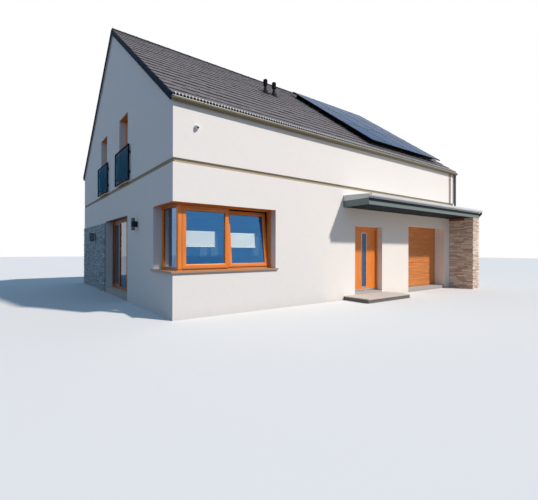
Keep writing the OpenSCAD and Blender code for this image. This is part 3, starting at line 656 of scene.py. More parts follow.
# Grey stone made darker and blue: partly its own colour, partly the painted blue shade of the gable.
SHADE_TINTED_PANEL_STONE = UnitFinish(
    "panel_stone", (0.25, 0.305, 0.335), 0.85, light=(0.54, 0.63, 0.68), vein=(0.19, 0.235, 0.26),
    vein_share=0.4, vein_size=0.05, grain=0.012, depth=0.006,
)
STONE_JOINT = MineralFinish(
    "pier_stone", (0.13, 0.095, 0.07), 0.95, spread=0.15, splash=0.0, name="stone_joint",
)
PANEL_JOINT = MineralFinish(
    "panel_stone", (0.10, 0.10, 0.10), 0.95, spread=0.15, splash=0.0, name="panel_joint",
)
VERGE = SheetFinish("verge_metal", (0.0018, 0.014, 0.034), 0.7, gloss=0.03)
RIDGE_TILE = SheetFinish(
    "roof_tile", (0.020, 0.026, 0.038), 0.6, spread=0.15, grain=0.006, depth=0.0004, gloss=0.2,
    name="ridge_tile",
)
GUTTER = SheetFinish("gutter_metal", (0.175, 0.150, 0.100), 0.5, gloss=0.25)
# A paler copy of the gutters' coat: a painted highlight on their lips.
GUTTER_BEAD_HIGHLIGHT = SheetFinish("gutter_metal", (0.44, 0.43, 0.27), 0.45, gloss=0.3, name="gutter_bead_highlight")
DRIP_SHEET = SheetFinish("gutter_metal", (0.085, 0.095, 0.085), 0.5, gloss=0.2, name="drip_sheet")
# Pale: the comb's own colour, and on the lugs over the tile noses a painted highlight.
EAVES_COMB_AND_GLINTS = SheetFinish("gutter_metal", (0.60, 0.62, 0.63), 0.45, name="eaves_comb")
DARK_PIPE = SheetFinish("dark_pipe", (0.085, 0.092, 0.095), 0.5, gloss=0.3)
THIN_PIPE = SheetFinish("gutter_metal", (0.24, 0.16, 0.095), 0.5, gloss=0.3, name="thin_pipe_coat")
MODULE_FRAME = SheetFinish("solar_glass", (0.003, 0.004, 0.007), 0.6, gloss=0.05, name="module_frame")
BACKSHEET = CellFinish(
    "solar_glass", (0.020, 0.028, 0.045), 0.22, bars=0.0, edge=(0.20, 0.32, 0.58), name="module_backsheet",
)
CELL = CellFinish("solar_glass", (0.009, 0.023, 0.052), 0.16, name="solar_cell")
RAIL = SheetFinish("aluminium_rail", (0.004, 0.005, 0.008), 0.6, gloss=0.08)
VENT = SheetFinish("vent_plastic", (0.006, 0.007, 0.011), 0.6, gloss=0.1)
SOFFIT = SheetFinish("canopy_board", (0.009, 0.018, 0.030), 0.6, gloss=0.1)
FASCIA = SheetFinish("fascia_sheet", (0.165, 0.215, 0.205), 0.5, gloss=0.3)
FLASHING = SheetFinish("flashing_sheet", (0.72, 0.71, 0.66), 0.42)
ZINC = SheetFinish("canopy_zinc", (0.66, 0.71, 0.76), 0.3, metallic=0.6, spread=0.12)
DRAIN_COAT = SheetFinish("canopy_zinc", (0.040, 0.046, 0.052), 0.5, gloss=0.3, name="drain_coat")
OAK = WoodFinish("window_wood", (0.88, 0.265, 0.030), 0.42, (0.54, 0.120, 0.014))
# The window wood darkened: painted shade on the terrace door and on the bearer under the canopy.
SHADED_OAK = WoodFinish(
    "window_wood", (0.30, 0.095, 0.022), 0.42, (0.16, 0.042, 0.010), name="terrace_wood_painted_shade",
)
GARAGE_OAK = WoodFinish(
    "garage_wood", (0.72, 0.265, 0.066), 0.5, (0.40, 0.120, 0.030), 0.0, rings=(1.1, 14.0, 1.0),
)
GLASS = GlassFinish("window_glass", (0.74, 0.79, 0.82), 0.02)
# A near-black tint: painted shade of the dark rooms behind the panes, with a painted blue sky reflection in
# the gloss.
SHADED_FAR_GLASS = GlassFinish(
    "window_glass", (0.045, 0.070, 0.085), 0.02, ior=2.0, gloss=(0.3, 0.6, 1.0), name="far_glass_painted_shade",
)
DOOR_GLASS = GlassFinish(
    "window_glass", (0.16, 0.20, 0.26), 0.12, transmission=0.6, ior=1.8, name="door_glass",
)
GASKET = SheetFinish("window_glass", (0.012, 0.012, 0.013), 0.6, gloss=0.2, name="gasket_rubber")
SILL = SheetFinish("sill_metal", (0.47, 0.265, 0.150), 0.45, gloss=0.3)
SILL_CAP = SheetFinish("sill_metal", (0.70, 0.70, 0.69), 0.5, name="sill_cap")
WEATHER_BAR = SheetFinish("sill_metal", (0.34, 0.13, 0.035), 0.4, gloss=0.3, name="weather_bar")
RAILING = SheetFinish("railing_metal", (0.0015, 0.012, 0.030), 0.7, gloss=0.03)
RAILING_SLAT = SheetFinish("railing_metal", (0.010, 0.160, 0.260), 0.7, gloss=0.0, name="railing_slat")
STEEL = SheetFinish("handle_steel", (0.60, 0.61, 0.62), 0.28, metallic=1.0)
LAMP = SheetFinish("lamp_metal", (0.012, 0.016, 0.022), 0.5, gloss=0.15)
LAMP_GLASS = GlassFinish(
    "lamp_metal", (0.26, 0.29, 0.33), 0.2, transmission=0.3, ior=1.4, gloss=(0.7, 0.85, 1.0),
    name="lamp_glass",
)
CAMERA_WHITE = SheetFinish("camera_plastic", (0.78, 0.78, 0.77), 0.35)
LENS = SheetFinish("camera_plastic", (0.010, 0.010, 0.012), 0.3, gloss=0.3, name="camera_lens")
BLIND = FabricFinish("blind_fabric", (0.90, 0.92, 0.93), 0.9)


def dress(finish: Finish, *nodes: str) -> None:
    """Give fixed nodes a finish.

    Args:
        finish: The finish.
        nodes: The nodes' names.
    """
    for node in nodes:
        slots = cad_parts[node].data.materials
        slots.clear()
        slots.append(finish.material())


def finish_tree(graph: Graph, made: NodeSocket, material: NodeSocket) -> NodeTree:
    """End a Geometry Nodes tree in real geometry with its material.

    Args:
        graph: The tree's graph.
        made: The output of what it has made.
        material: The output of its material.

    Returns:
        The tree.
    """
    real = graph.get("GeometryNodeRealizeInstances", {"Geometry": made})
    graph.put("NodeGroupOutput", {
        "Geometry": graph.get("GeometryNodeSetMaterial", {"Geometry": real, "Material": material}),
    })
    return graph.tree


@cache
def rows_tree() -> NodeTree:
    """The tree that repeats a copy in rows and columns, each with a random lift, turn and tone.

    Returns:
        The tree.
    """
    sockets = {
        "Copy": "Geometry", "Columns": "Int", "Rows": "Int", "Column Pitch": "Float", "Row Pitch": "Float",
        "Lift": "Float", "Turn": "Float", "Seed": "Int", "Material": "Material",
    }
    graph, given = new_tree("Geometry", "rows_of_copies", sockets, ("Geometry", "Geometry"))
    seed = given["Seed"]
    index = graph.get("GeometryNodeInputIndex")
    column = graph.maths("MODULO", index, given["Columns"])
    row = graph.maths("FLOOR", graph.maths("DIVIDE", graph.maths("ADD", index, 0.5), given["Columns"]))
    place = graph.get("ShaderNodeCombineXYZ", {
        "X": graph.maths("MULTIPLY", column, given["Column Pitch"]),
        "Y": graph.maths("MULTIPLY", row, given["Row Pitch"]),
        "Z": graph.random("FLOAT", graph.maths("MULTIPLY", given["Lift"], -1.0), given["Lift"], seed),
    })
    count = graph.maths("MULTIPLY", given["Columns"], given["Rows"])
    spots = graph.get("GeometryNodePoints", {"Count": count, "Position": place})
    turn = graph.random("FLOAT_VECTOR", graph.maths("MULTIPLY", given["Turn"], -1.0), given["Turn"], seed)
    placed = graph.get(
        "GeometryNodeInstanceOnPoints", {"Points": spots, "Instance": given["Copy"], "Rotation": turn}
    )
    tone = {"Geometry": placed, "Name": "tone", "Value": graph.random("FLOAT", 0.0, 1.0, seed)}
    toned = graph.get("GeometryNodeStoreNamedAttribute", tone, data_type="FLOAT", domain="INSTANCE")
    return finish_tree(graph, toned, given["Material"])


@cache
def tube_tree() -> NodeTree:
    """The tree that draws a round tube along the edges of a mesh.

    Returns:
        The tree.
    """
    sockets = {"Path": "Geometry", "Radius": "Float", "Sides": "Int", "Material": "Material"}
    graph, given = new_tree("Geometry", "tube_on_path", sockets, ("Geometry", "Geometry"))
    line = graph.get("GeometryNodeMeshToCurve", {0: given["Path"]})
    circle = {"Resolution": given["Sides"], "Radius": given["Radius"]}
    ring = graph.get("GeometryNodeCurvePrimitiveCircle", circle)
    tube = graph.get("GeometryNodeCurveToMesh", {"Curve": line, "Profile Curve": ring, "Fill Caps": True})
    return finish_tree(graph, tube, given["Material"])


def grow(tree: NodeTree, start: Mesh, values: dict[str, object]) -> Mesh:
    """Run a Geometry Nodes tree on a mesh.

    Args:
        tree: The tree.
        start: The mesh that it starts from.
        values: The values of its inputs by name.

    Returns:
        The result as a plain mesh.
    """
    holder = show("holder", start)
    growth = holder.modifiers.new("growth", "NODES")
    growth.node_group = tree
    for item in tree.interface.items_tree:
        if item.in_out == "INPUT" and item.name in values:
            growth[item.identifier] = values[item.name]
    evaluated = bpy.context.evaluated_depsgraph_get()
    seen = holder.evaluated_get(evaluated)
    made = bpy.data.meshes.new_from_object(seen, preserve_all_data_layers=True, depsgraph=evaluated)
    holder.modifiers.remove(growth)
    bpy.data.objects.remove(holder)
    return made


BLOCK_FACES = ((0, 1, 3, 2), (4, 6, 7, 5), (0, 4, 5, 1), (2, 3, 7, 6), (0, 2, 6, 4), (1, 5, 7, 3))


@dataclass
class Shape:
    """One piece's mesh while it is put together."""

    seed: int = 1
    points: list[Vector] = field(default_factory=list)
    faces: list[tuple[int, ...]] = field(default_factory=list)
    grain: list[Pair] = field(default_factory=list)
    tones: list[float] = field(default_factory=list)
    grain_reach: float = 9.0

    def __post_init__(self) -> None:
        """Start the piece's own random draws."""
        self.draw = random.Random(self.seed)

    def add(self, points: Sequence[Vector], faces: Iterable[Sequence[int]], at: Matrix, along: Grain) -> None:
        """Add a closed part, which takes its own place in the grain and its own tone.

        Args:
            points: Its points, in its own axes.
            faces: Its faces, as indices of those points.
            at: The frame of those axes.
            along: The axis that the grain follows.
        """
        start = len(self.points)
        shift = Vector((self.draw.uniform(0, self.grain_reach), self.draw.uniform(0, self.grain_reach)))
        self.tones += [self.draw.random()] * len(points)
        self.points += [at @ point for point in points]
        for face in faces:
            self.faces.append(tuple(start + index for index in face))
            spots = [points[index] for index in face]
            normal = (spots[1] - spots[0]).cross(spots[2] - spots[1])
            flat = max(range(3), key=lambda axis: abs(normal[axis]))
            first = along.value if flat != along.value else (flat + 1) % 3
            second = 3 - first - flat
            self.grain += [(spot[first] + shift.x, spot[second] + shift.y) for spot in spots]

    def block(
        self, low: Sequence[float], high: Sequence[float], at: Matrix = HERE, along: Grain = Grain.Z,
    ) -> None:
        """Add a block between two corners in some frame, with its grain along an axis."""
        self.add([Vector(spot) for spot in product(*zip(low, high))], BLOCK_FACES, at, along)

    def loft(self, rings: Sequence[Sequence[Vector]], at: Matrix = HERE, along: Grain = Grain.Z) -> None:
        """Add a body that runs from ring to ring and is closed at both ends.

        Args:
            rings: The rings, each with the same number of points in the same order.
            at: The frame of their axes.
            along: The axis that the grain follows.
        """
        count, last = len(rings[0]), len(rings[0]) * (len(rings) - 1)
        faces = [tuple(reversed(range(count))), tuple(range(last, last + count))]
        for start in range(0, last, count):
            pairs = [(start + i, start + (i + 1) % count) for i in range(count)]
            faces += [(near, far, far + count, near + count) for near, far in pairs]
        self.add([point for ring in rings for point in ring], faces, at, along)

    def prism(self, outline: Outline, low: float, high: float, at: Matrix = HERE) -> None:
        """Add an outline in Y and Z drawn out along X, with its grain along X."""
        self.loft([[Vector((x, y, z)) for y, z in outline] for x in (low, high)], at, Grain.X)

    def turned(self, outline: Outline, at: Matrix, sides: int = 32) -> None:
        """Add a body of revolution about its own Z axis, closed at both ends.

        Args:
            outline: Radius and height, from the lower end to the upper one.
            at: The frame of its axes.
            sides: The number of its sides.
        """
        turns = [2 * math.pi * step / sides for step in range(sides)]
        circle = [(math.cos(turn), math.sin(turn)) for turn in turns]
        self.loft([[Vector((radius * x, radius * y, z)) for x, y in circle] for radius, z in outline], at)

    def disc(self, radius: float, low: float, high: float, at: Matrix, sides: int = 32) -> None:
        """Add a round part about its own Z axis, by its radius, its two ends and the number of its sides."""
        self.turned([(radius, low), (radius, high)], at, sides)

    def frame_ring(self, width: float, height: float, section: Outline, at: Matrix) -> None:
        """Add four mitred bars round an opening, in the X and Z axes.

        Args:
            width: The outer width.
            height: The outer height.
            section: The bars' section: distance in from the outer edge, and depth along Y.
            at: The frame at the ring's lower left corner.
        """
        pairs = ((Grain.X, Grain.Z, width, height), (Grain.Z, Grain.X, height, width))
        for along, across, length, other in pairs:
            for opposite in (False, True):
                ends = []
                for last in (False, True):
                    spots = [Vector((0, depth, 0)) for _, depth in section]
                    for spot, (inset, _) in zip(spots, section):
                        spot[along.value] = length - inset if last else inset
                        spot[across.value] = other - inset if opposite else inset
                    ends.append(spots)
                self.loft(ends, at, along)

    def take(self, mesh: Mesh) -> None:
        """Add a ready mesh, with its grain and its tones where it has them.

        Args:
            mesh: The mesh, in the house's frame.
        """
        start = len(self.points)
        self.points += [vertex.co.copy() for vertex in mesh.vertices]
        tones = mesh.attributes.get("tone")
        self.tones += [item.value for item in tones.data] if tones else [0.5] * len(mesh.vertices)
        layer = mesh.uv_layers.get("grain")
        for face in mesh.polygons:
            self.faces.append(tuple(start + index for index in face.vertices))
            self.grain += [tuple(layer.data[loop].uv) if layer else (0.0, 0.0) for loop in face.loop_indices]

    def rows(
        self, copy: "Shape", finish: Finish, counts: tuple[int, int], pitches: Pair,
        at: Matrix, seed: int, lift: float = 0.0, turn: float = 0.0,
    ) -> None:
        """Add copies in rows and columns.

        Args:
            copy: The copy, in the axes of the rows.
            finish: Its finish.
            counts: The number of copies along X and along Y.
            pitches: Their spacing along X and along Y.
            at: The frame of the rows' axes.
            seed: The seed of the random draws.
            lift: How far a copy may stand proud or low at random.
            turn: How far a copy may be turned at random, in radians.
        """
        values = {
            "Columns": counts[0], "Rows": counts[1], "Column Pitch": pitches[0], "Row Pitch": pitches[1],
            "Lift": lift, "Turn": turn, "Seed": seed, "Material": finish.material(),
        }
        made = grow(rows_tree(), copy.mesh("copy", finish), values)
        made.transform(at)
        self.take(made)

    def tube(self, path: Sequence[Vector], radius: float, finish: Finish, sides: int = 12) -> None:
        """Add a round tube along a path.

        Args:
            path: The points of its centre line, in the house's frame.
            radius: Its radius.
            finish: Its finish.
            sides: The number of its sides.
        """
        line = bpy.data.meshes.new("path")
        line.from_pydata(list(path), [(i, i + 1) for i in range(len(path) - 1)], [])
        values = {"Radius": radius, "Sides": sides, "Material": finish.material()}
        self.take(grow(tube_tree(), line, values))

    def mesh(self, name: str, finish: Finish) -> Mesh:
        """The finished mesh.

        Args:
            name: The mesh's name.
            finish: Its finish.

        Returns:
            A mesh with the UV map grain and the attribute tone, its faces pointing outwards.
        """
        made = bpy.data.meshes.new(name)
        made.from_pydata(self.points, [], self.faces)
        layer = made.uv_layers.new(name="grain")
        for item, spot in zip(layer.data, self.grain):
            item.uv = spot
        tones = made.attributes.new("tone", "FLOAT", "POINT")
        tones.data.foreach_set("value", self.tones)
        made.materials.append(finish.material())
        work = bmesh.new()
        work.from_mesh(made)
        bmesh.ops.recalc_face_normals(work, faces=work.faces)
        work.to_mesh(made)
        work.free()
        return made

    def piece(
        self, name: str, finish: Finish, body: str = HOUSE, replaces: str = "", bevel: float = 0.0,
    ) -> None:
        """Put the shape into the scene as a piece of the house.

        Args:
            name: The piece's name.
            finish: Its finish.
            body: The body that it rides on.
            replaces: The fixed node that it stands for, if any.
            bevel: The width of the rounding of its edges.
        """
        made = show(name, self.mesh(name, finish))
        if bevel:
            rounding = made.modifiers.new("rounding", "BEVEL")
            rounding.width = bevel
            rounding.segments = 2
            rounding.limit_method = "ANGLE"
            rounding.angle_limit = math.radians(40)
        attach(made, body)
        if replaces:
            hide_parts(replaces)
        LOG.info("%s: %d faces, on %s", name, len(self.faces), body)


@dataclass
class Walls:
    """The rendered walls, the groove between the storeys, the floors and the doorstep."""

    plastered: tuple[str, ...] = (
        "corner_walls", "front_wall", "left_wall", "door_lintels", "back_wall", "right_wall",
        "upper_front_wall", "upper_back_wall", "left_gable", "right_gable",
    )
    slabs: int = 4
    slab_gap: float = 0.004
    slab_t: float = 0.03
    slab_out: float = 0.01

    def build(self) -> None:
        """Dress the walls and floors, and lay slabs on the doorstep's riser."""
        dress(PLASTER, *self.plastered)
        dress(GROOVE, "groove_band")
        dress(CONCRETE, "floor_slab", "upper_floor")
        dress(DECK_BOARD, "roof_front_deck", "roof_back_deck")
        box, out = Box.of("doorstep"), self.slab_out
        slabs, riser = Shape(seed=5), Shape(seed=6)
        foot = box.high.z - self.slab_t
        riser.block(box.low + Vector((out, out, 0)), (box.high.x - out, box.high.y, foot))
        width = box.size.x / self.slabs
        for count in range(self.slabs):
            left = box.low.x + count * width + self.slab_gap / 2
            slabs.block((left, box.low.y, foot), (left + width - self.slab_gap, box.high.y, box.high.z))
        slabs.piece("doorstep_slabs", STEP_STONE, replaces="doorstep", bevel=0.004)
        # The riser's sides are painted dark as shade.
        riser.piece("doorstep_riser", SHADED_STEP_RISER)


@dataclass
class Slope:
    """A roof slope: X runs along the eaves from their left end, Y up the slope and Z off the tiles."""

    node: str = "roof_front_tiles"
    side: Side = Side.FRONT
    tile_w: float = 0.30
    course: float = 0.36
    tile_t: float = 0.022
    tile_lap: float = 0.02
    tile_gap: float = 0.008
    tile_chamfer: float = 0.004
    tile_lift: float = 0.003
    tile_turn: float = 0.006
    comb_pitch: float = 0.080
    comb_h: float = 0.058
    # The lugs are pale blocks on the tiles' noses that paint their highlights.
    glint_lug_w: float = 0.046
    glint_lug_out: float = 0.008
    glint_lug_in: float = 0.012
    glint_lug_rise: float = 0.012
    glint_lug_drop: float = 0.010
    finger_w: float = 0.012
    finger_in: float = 0.003
    strip_h: float = 0.012
    strip_in: float = 0.002
    strip_end: float = 0.004
    drip: Pair = (0.006, 0.010)
    drip_h: float = 0.012
    drip_t: float = 0.004
    drip_end: float = 0.005

    def __post_init__(self) -> None:
        """Read the slope's frame from its solid."""
        points = [self.side.matrix() @ point for point in corners(self.node)]
        nearest = min(point.y for point in points)
        self.eaves = max((point for point in points if point.y < nearest + 1e-4), key=lambda point: point.z)
        climb = max(points, key=lambda point: point.z) - self.eaves
        left = min(point.x for point in points)
        self.width = max(point.x for point in points) - left
        self.under = min(point.z for point in points) - self.eaves.z
        self.pitch = math.degrees(math.atan2(climb.z, climb.y))
        self.length = math.hypot(climb.z, climb.y)
        self.level = self.side.matrix() @ move(left, self.eaves.y, self.eaves.z)
        self.axes = self.level @ spin(self.pitch, "X")

    def tile(self, width: float, course: float) -> Shape:
        """A flat tile with its nose level with the slope and its head sunk under the next course.

        Args:
            width: The width that it covers.
            course: The length that it shows.

        Returns:
            The tile, with its nose at Y = 0.
        """
        low, high = self.tile_gap / 2, width - self.tile_gap / 2
        length, cut = course + self.tile_lap, self.tile_chamfer
        rings = []
        for inset, drop in ((cut, 0.0), (0.0, cut), (0.0, self.tile_t)):
            left, right = low + inset, high - inset
            spots = ((left, inset), (right, inset), (right, length), (left, length))
            rings.append([Vector((x, y, -self.tile_t * y / course - drop)) for x, y in spots])
        made = Shape()
        made.loft(rings, along=Grain.Y)
        return made

    def tiles(self) -> None:
        """Lay the tiles in broken bond."""
        columns, rows = round(self.width / self.tile_w), round(self.length / self.course)
        width, course = self.width / columns, self.length / rows
        whole, half = self.tile(width, course), self.tile(width / 2, course)
        odd = self.axes @ move(y=course)
        runs = (
            (whole, (columns, (rows + 1) // 2), width, self.axes),
            (whole, (columns - 1, rows // 2), width, odd @ move(width / 2)),
            (half, (2, rows // 2), self.width - width / 2, odd),
        )
        made = Shape()
        for seed, (copy, counts, pitch, at) in enumerate(runs, 11):
            made.rows(copy, ROOF_TILE, counts, (pitch, 2 * course), at, seed, self.tile_lift, self.tile_turn)
        made.piece(self.node.replace("tiles", "tiling"), ROOF_TILE, replaces=self.node)

    def comb(self) -> None:
        """Line the tiles' noses with pale lugs that paint their highlights, and a comb on a strip, and set a
        drip sheet behind it.
        """
        count = int(self.width / self.comb_pitch)
        start = (self.width - (count - 1) * self.comb_pitch - self.glint_lug_w) / 2
        near = (self.glint_lug_w - self.finger_w) / 2
        # Each copy: a lug that paints a nose's highlight, and a comb tooth under it.
        glint_and_tooth = Shape()
        glint_and_tooth.block((0, -self.glint_lug_out, -self.glint_lug_drop), (self.glint_lug_w, self.glint_lug_in, self.glint_lug_rise))
        finger = (near + self.finger_w, -self.finger_in, -self.glint_lug_drop)
        glint_and_tooth.block((near, -self.glint_lug_out, -self.comb_h), finger)
        made = Shape()
        made.rows(glint_and_tooth, EAVES_COMB_AND_GLINTS, (count, 1), (self.comb_pitch, 0.0), self.level @ move(start), seed=21)
        strip = (self.width - self.strip_end, -self.strip_in, -self.comb_h)
        made.block((self.strip_end, -self.glint_lug_out, -self.comb_h - self.strip_h), strip, self.level, Grain.X)
        made.piece(self.node.replace("tiles", "eaves_comb"), EAVES_COMB_AND_GLINTS)
        deck = Box.of(self.node.replace("tiles", "deck"), self.side.matrix())
        sheet, right = Shape(seed=23), self.width - self.drip_end
        for far, height in ((self.drip[1], self.drip_h), (deck.low.y - self.eaves.y, self.drip_t)):
            low = (self.drip_end, self.drip[0], self.under - height)
            sheet.block(low, (right, far, self.under), self.level, Grain.X)
        sheet.piece(self.node.replace("tiles", "drip_sheet"), DRIP_SHEET)


@dataclass
class Roof:
    """Both slopes, the ridge caps, the verges, the gutters and the pipes."""

    cover_shares: tuple[float, ...] = (0.02, 0.34, 0.66, 0.985)
    cover_half: float = 0.03
    cover_t: float = 0.002
    cover_z: Pair = (-0.145, -0.034)
    ridge_pitch: float = 0.40
    ridge_t: float = 0.014
    ridge_flat: float = 0.035
    ridge_step: float = 0.006
    ridge_lap: float = 0.03
    ridge_band: float = 0.035
    bead_r: float = 0.007
    bracket_pitch: float = 0.70
    bracket_w: float = 0.03
    bracket_t: float = 0.004
    hook: Pair = (0.003, 0.014)
    clip_pitch: float = 1.1
    clip_foot: float = 0.15
    clip_head: float = 0.25
    clip_h: float = 0.025
    clip_r: float = 0.004
    clip_half: float = 0.008
    clip_reach: float = 0.015
    sleeve_drop: float = 0.07
    sleeve: Outline = ((0.003, 0.0), (0.006, 0.01), (0.006, 0.06))
    pipe_sides: int = 20

    def build(self) -> None:
        """Cover both slopes and fit the edges."""
        for slope in (Slope(), Slope("roof_back_tiles", Side.BACK)):
            slope.tiles()
            slope.comb()
        dress(VERGE, "verge_trims")
        self.verge_covers()
        self.ridge()
        dress(GUTTER, "roof_gutters")
        self.gutter_fittings()
        dress(DARK_PIPE, "downpipes")
        dress(THIN_PIPE, "thin_pipe")
        self.pipe_clips()

    def verge_covers(self) -> None:
        """Joint covers on the verge trims."""
        slope, trims, covers = Slope(), Box.of("verge_trims"), Shape()
        for end in (trims.low.x, trims.high.x):
            for side, across in ((Side.FRONT, end), (Side.BACK, -end)):
                foot = side.matrix() @ move(across, slope.eaves.y, slope.eaves.z) @ spin(slope.pitch, "X")
                left, right = sorted((0.0, math.copysign(self.cover_t, across)))
                for share in self.cover_shares:
                    at = foot @ move(y=share * slope.length)
                    low, high = self.cover_z
                    covers.block((left, -self.cover_half, low), (right, self.cover_half, high), at)
        covers.piece("verge_joint_covers", VERGE)

    def ridge(self) -> None:
        """A row of ridge caps that lap each other."""
        box = Box.of("ridge_cap")
        half, flat, fall = box.high.y, self.ridge_flat, math.tan(math.radians(Slope().pitch))
        top = [(y, -fall * max(abs(y), flat / 2)) for y in (-half, -flat, 0.0, flat, half)]
        cap = top + [(y, z - self.ridge_t) for y, z in reversed(top)]
        count = round(box.size.x / self.ridge_pitch)
        pitch = box.size.x / count
        one, made = Shape(), Shape()
        one.prism(cap, 0.0, pitch + self.ridge_lap, move(z=-self.ridge_step))
        one.prism(cap, 0.0, self.ridge_band)
        made.rows(one, RIDGE_TILE, (count - 1, 1), (pitch, 0.0), move(box.low.x, 0, box.high.z), seed=31)
        made.prism(cap, 0.0, pitch, move(box.high.x - pitch, 0, box.high.z - self.ridge_step))
        made.piece("ridge_tiles", RIDGE_TILE, replaces="ridge_cap")

    def gutter_fittings(self) -> None:
        """Beads along the front lips of the gutters, paler than the gutters as a painted highlight, and
        brackets across them.
        """
        box, wall = Box.of("roof_gutters"), Box.of("upper_back_wall").high.y
        strap, beads, brackets = Shape(), Shape(), Shape()
        strap.block((0, 0, 0), (self.bracket_w, -box.low.y - wall, self.bracket_t))
        strap.block((0, -self.hook[0], -self.hook[1]), (self.bracket_w, 0, self.bracket_t))
        count = round(box.size.x / self.bracket_pitch)
        pitch = (box.size.x - self.bracket_w) / count
        for side in (Side.FRONT, Side.BACK):
            at = side.matrix() @ move(box.low.x, box.low.y, box.high.z)
            ends = [at @ Vector((x, self.bead_r, 0)) for x in (0.0, box.size.x)]
            beads.tube(ends, self.bead_r, GUTTER_BEAD_HIGHLIGHT)
            brackets.rows(strap, GUTTER, (count + 1, 1), (pitch, 0.0), at, seed=41)
        beads.piece("gutter_beads", GUTTER_BEAD_HIGHLIGHT)
        brackets.piece("gutter_brackets", GUTTER)

    def pipe_clips(self) -> None:
        """Clips that hold the pipes to the walls, and a sleeve at the head of each."""
        for node, finish in (("downpipes", DARK_PIPE), ("thin_pipe", THIN_PIPE)):
            made = Shape()
            for box in map(Box.around, solids(node)):
                radius, (x, y, _) = box.size.x / 2, box.centre
                near, far = sorted((0.0, math.copysign(radius + self.clip_reach, -y)))
                steps = max(2, round(box.size.z / self.clip_pitch))
                run = box.size.z - self.clip_foot - self.clip_head
                for step in range(steps):
                    at = move(x, y, box.low.z + self.clip_foot + run * step / (steps - 1))
                    made.disc(radius + self.clip_r, 0, self.clip_h, at, self.pipe_sides)
                    made.block((-self.clip_half, near, 0), (self.clip_half, far, self.clip_h), at)
                sleeve = [(radius + out, up) for out, up in self.sleeve]
                made.turned(sleeve, move(x, y, box.high.z - self.sleeve_drop), self.pipe_sides)
            made.piece(f"{node}_clips", finish)


@dataclass
class SolarArray:
    """The solar modules on their rails: frames, backsheets, cells and clamps."""

    lip: float = 0.011
    frame_wall: float = 0.0022
    flange: float = 0.03
    skin: float = 0.002
    recess: float = 0.0015
    sheet_t: float = 0.004
    cell_columns: int = 6
    cell_rows: int = 20
    cell_gap: float = 0.003
    cell_cut: float = 0.006
    cell_t: float = 0.0006
    middle: float = 0.012
    border: float = 0.014
    clamp_half: float = 0.03
    clamp_t: float = 0.004
    screw_r: float = 0.006

    def __post_init__(self) -> None:
        """Find the modules in the slope's axes."""
        self.turn = Slope().axes.to_3x3().to_4x4()
        self.boxes = [Box.around(points, self.turn) for points in solids("pv_modules")]

    def build(self) -> None:
        """Build every module and the fixings."""
        self.frames()
        self.cells()
        self.clamps()
        dress(RAIL, "pv_rails")

    def frames(self) -> None:
        """Black hollow frames and the sheets in them."""
        lying = spin(-90, "X")
        frames, sheets = Shape(), Shape()
        wall, skin = self.frame_wall, self.skin
        for box in self.boxes:
            at, (x, y, high) = box.foot(self.turn), box.size
            section = [
                (0, 0), (self.flange, 0), (self.flange, -skin), (wall, -skin),
                (wall, skin - high), (self.lip, skin - high), (self.lip, -high), (0, -high),
            ]
            frames.frame_ring(x, y, section, at @ lying)
            top = high - self.recess
            sheets.block((wall, wall, top - self.sheet_t), (x - wall, y - wall, top), at, Grain.Y)
        frames.piece("pv_frames", MODULE_FRAME, replaces="pv_modules")
        sheets.piece("pv_sheets", BACKSHEET)

    def cells(self) -> None:
        """Half-cut cells in rows on every module."""
        size, cut = self.boxes[0].size, self.cell_cut
        wide = (size.x - 2 * self.border) / self.cell_columns
        long = (size.y - 2 * self.border - self.middle) / self.cell_rows
        right, top = wide - self.cell_gap, long - self.cell_gap
        outline = [(cut, 0), (right - cut, 0), (right, cut), (right, top), (0, top), (0, cut)]
        cell, made = Shape(), Shape()
        cell.loft([[Vector((x, y, z)) for x, y in outline] for z in (0.0, self.cell_t)])
        cell.grain = [(cell.points[i].x / right, cell.points[i].y / top) for face in cell.faces for i in face]
        half = self.cell_rows // 2
        for number, box in enumerate(self.boxes):
            for upper in (0, 1):
                start = self.border + upper * (half * long + self.middle)
                at = box.foot(self.turn) @ move(self.border, start, size.z - self.recess)
                made.rows(cell, CELL, (self.cell_columns, half), (wide, long), at, 50 + 2 * number + upper)
        made.piece("pv_cells", CELL)

    def clamps(self) -> None:
        """Clamps over the modules' edges at every rail."""
        made = Shape(seed=7)
        lefts = sorted({round(box.low.x, 3) for box in self.boxes})
        width, top = self.boxes[0].size.x, self.boxes[0].high.z
        gap = lefts[1] - lefts[0] - width
        inner, half = gap / 2 + self.lip - self.skin, self.clamp_half
        for points in solids("pv_rails"):
            rail = Box.around(points, self.turn)
            for spot in [left - gap / 2 for left in lefts] + [lefts[-1] + width + gap / 2]:
                left = 0.0 if spot < lefts[0] else -inner
                right = 0.0 if spot > lefts[-1] + width else inner
                at = self.turn @ move(spot, rail.centre.y, top)
                made.block((left, -half, 0), (right, half, self.clamp_t), at)
                made.disc(self.screw_r, self.clamp_t, 2 * self.clamp_t, at, 6)
        made.piece("pv_clamps", MODULE_FRAME)


